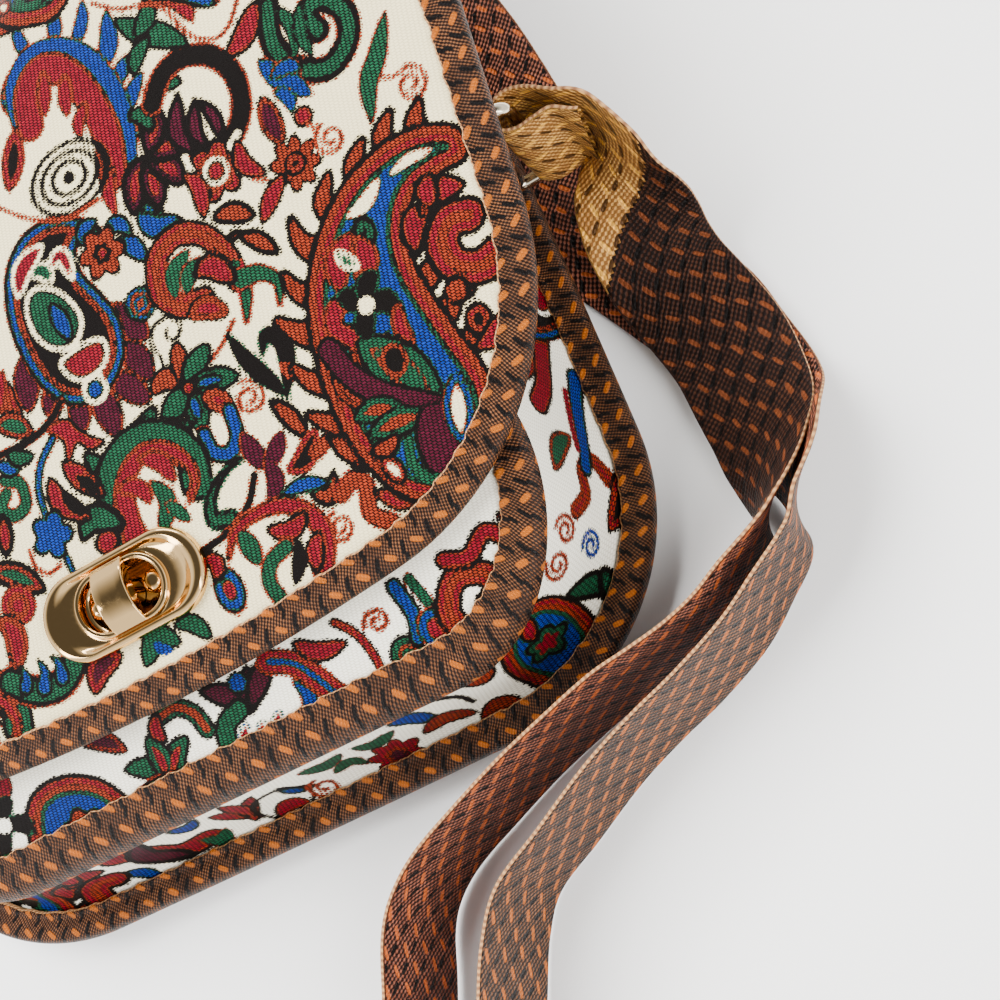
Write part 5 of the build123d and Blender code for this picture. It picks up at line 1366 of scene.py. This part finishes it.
knobPoints = knobArch()
baseX, baseV = (np.linspace(-1, 1, 3) * size / 2 for size in lock["knob"][::-1])
knobBase = clothPoint(*np.meshgrid(baseX, baseV), lock["knobFoot"])
neckRows = [(lock["neck"], lock["knobFoot"] + 0.1), (lock["neck"], lock["neckFoot"])]
neck = lathe(neckRows + lock["stem"], 0.0, 36)
points, quads = joined([(knobPoints, gridQuads(*knobPoints.shape[:2])),
                        (knobBase, gridQuads(3, 3)[:, ::-1]),
                        (neck, gridQuads(*neck.shape[:2], closeColumns=True))])
knob = makePiece("lockKnob", points, quads, "knob", [goldPlate], replaces=["lock_knob"])
knob.data.set_sharp_from_angle(angle=math.radians(lock["knobSharp"]))
for node in ("lock_base", "lock_washer", "lock_base_washer"):
    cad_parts[node].data.materials.clear()
    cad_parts[node].data.materials.append(goldPlate)
print("lock ready")

# Rings: a wire swept round a rounded rectangle; tabs: ribbon loops round the ring's inner bar
ring = {"middle": (108.75, 2.0, 31.0), "half": (5.25, 15.5), "corner": 3.0, "wire": 1.5}
tab = {"width": 24.0, "cloth": 1.4, "bar": (103.5, 2.0), "round": 0.6, "columns": 15,
       "path": [(-14.6, 1.0), (-10, 1.1), (-6, 1.8), (-3, 2.6), (0, 2.78), (1.95, 1.95), (2.78, 0),
                (1.95, -1.95), (0, -2.78), (-3, -2.6), (-6, -1.8), (-10, -1.1), (-14.6, -1.0)]}


def ringTube(side):
    # four quarter turns about the corners' middles, each point with a circle of wire about it
    turn = np.radians(np.concatenate([np.linspace(a, a + 90, 9) for a in (0, 90, 180, 270)]))
    across, up = np.repeat([1, -1, -1, 1], 9), np.repeat([1, 1, -1, -1], 9)
    reach = np.array(ring["half"]) - ring["corner"]
    line = np.stack([across * reach[0], up * reach[1]], -1) + ring["corner"] * turned(turn)
    outWay = np.stack([np.cos(turn), 0 * turn, np.sin(turn)], -1)
    round_ = np.linspace(0, 2 * math.pi, 16, endpoint=False)
    centre = np.stack([line[:, 0], 0 * turn, line[:, 1]], -1) + ring["middle"]
    cosine, sine = turned(round_).T[:, None, :, None]
    tube = centre[:, None] + ring["wire"] * (cosine * outWay[:, None] + sine * np.array([0, 1.0, 0]))
    return tube * [side, 1, 1]


for side, name in ((1, "right"), (-1, "left")):
    tube = ringTube(side)
    makePiece(name + "RingWire", tube, gridQuads(*tube.shape[:2], True, True)[:, ::-side], "ring_" + name,
              [ringSteel], replaces=[name + "_ring"])
    path = smoothCurve(np.array(tab["path"]) + tab["bar"], 6) * [side, 1]
    middle = np.concatenate([path, np.full((len(path), 1), ring["middle"][2])], 1)
    points, uv, quads = flatRibbon(middle, np.tile([0, 0, 1.0], (len(path), 1)), tab["width"], tab["cloth"],
                                   tab["round"], tab["columns"])
    makePiece(name + "TabRibbon", points, quads, "bag", [ribbonCloth], uv,
              replaces=[name + "_ring_tab"])
print("rings ready")

# Camera at the photograph's angle
camera = {"place": (160.5, -167.9, 309.2), "right": (0.8525, -0.3550, -0.3835),
          "down": (-0.4465, -0.8761, -0.1815), "lens": 54.0}
view = bpy.data.objects.new("camera", bpy.data.cameras.new("camera"))
bpy.context.scene.collection.objects.link(view)
rightWay = Vector(camera["right"]).normalized()
upWay = -Vector(camera["down"])
upWay = (upWay - upWay.dot(rightWay) * rightWay).normalized()
turn = Matrix((rightWay, upWay, rightWay.cross(upWay))).transposed()
view.matrix_world = Matrix.Translation(Vector(camera["place"]) / 1000) @ turn.to_4x4()
view.data.lens = camera["lens"]
view.data.sensor_width = 36.0
view.data.sensor_fit = "HORIZONTAL"
view.data.clip_start = 0.01
bpy.context.scene.camera = view

# Floor and light
ground = {"half": 3.0, "level": -0.0006, "colour": "#f6f5f3", "rough": 0.9}
corners = [(x * ground["half"], y * ground["half"], ground["level"])
           for x, y in ((-1, -1), (1, -1), (1, 1), (-1, 1))]
floorPaint, _, floorShader = newMaterial("paleFloor")
floorShader.inputs["Base Color"].default_value = linear(ground["colour"])
floorShader.inputs["Roughness"].default_value = ground["rough"]
floorMesh = bpy.data.meshes.new("floor")
floorMesh.from_pydata(corners, [], [(0, 1, 2, 3)])
floorMesh.materials.append(floorPaint)
floor = bpy.data.objects.new("floor", floorMesh)
bpy.context.scene.collection.objects.link(floor)


def softBox(name, place, size, power, inMetal=False):
    # an area light turned to the bag, seen in metal or not
    light = bpy.data.lights.new(name, "AREA")
    light.shape, light.size, light.size_y, light.energy = "RECTANGLE", size[0], size[1], power
    lamp = bpy.data.objects.new(name, light)
    lamp.location = place
    lamp.rotation_euler = (-Vector(place)).to_track_quat("-Z", "Y").to_euler()
    lamp.visible_glossy = inMetal
    bpy.context.scene.collection.objects.link(lamp)


softBox("keyBox", (-0.6, 0.6, 1.2), (1.3, 1.3), 80)
softBox("fillBox", (0.9, -0.7, 0.9), (0.9, 0.9), 28)
softBox("leftStrip", (-1.1, -0.3, 0.8), (0.22, 0.9), 9, True)
softBox("rightStrip", (0.7, -1.0, 0.6), (0.22, 0.9), 8, True)
softBox("backStrip", (0.1, 1.2, 1.0), (0.9, 0.16), 7, True)
# The room is brighter round the sides than overhead, which gives polished metal its dark and bright bands
world = bpy.data.worlds.new("studio")
world.use_nodes = True
sky = world.node_tree
way = addNode(sky, "TexCoord")
height = addNode(sky, "SeparateXYZ", None, {0: way.outputs["Generated"]})
glow = addNode(sky, "MapRange", {"From Min": 0.5, "From Max": 0.86, "To Min": 1.5, "To Max": 0.12},
               {"Value": height.outputs["Z"]})
sky.nodes["Background"].inputs["Color"].default_value = linear("#ffffff")
sky.links.new(glow.outputs[0], sky.nodes["Background"].inputs["Strength"])
bpy.context.scene.world = world

bpy.context.view_layer.update()
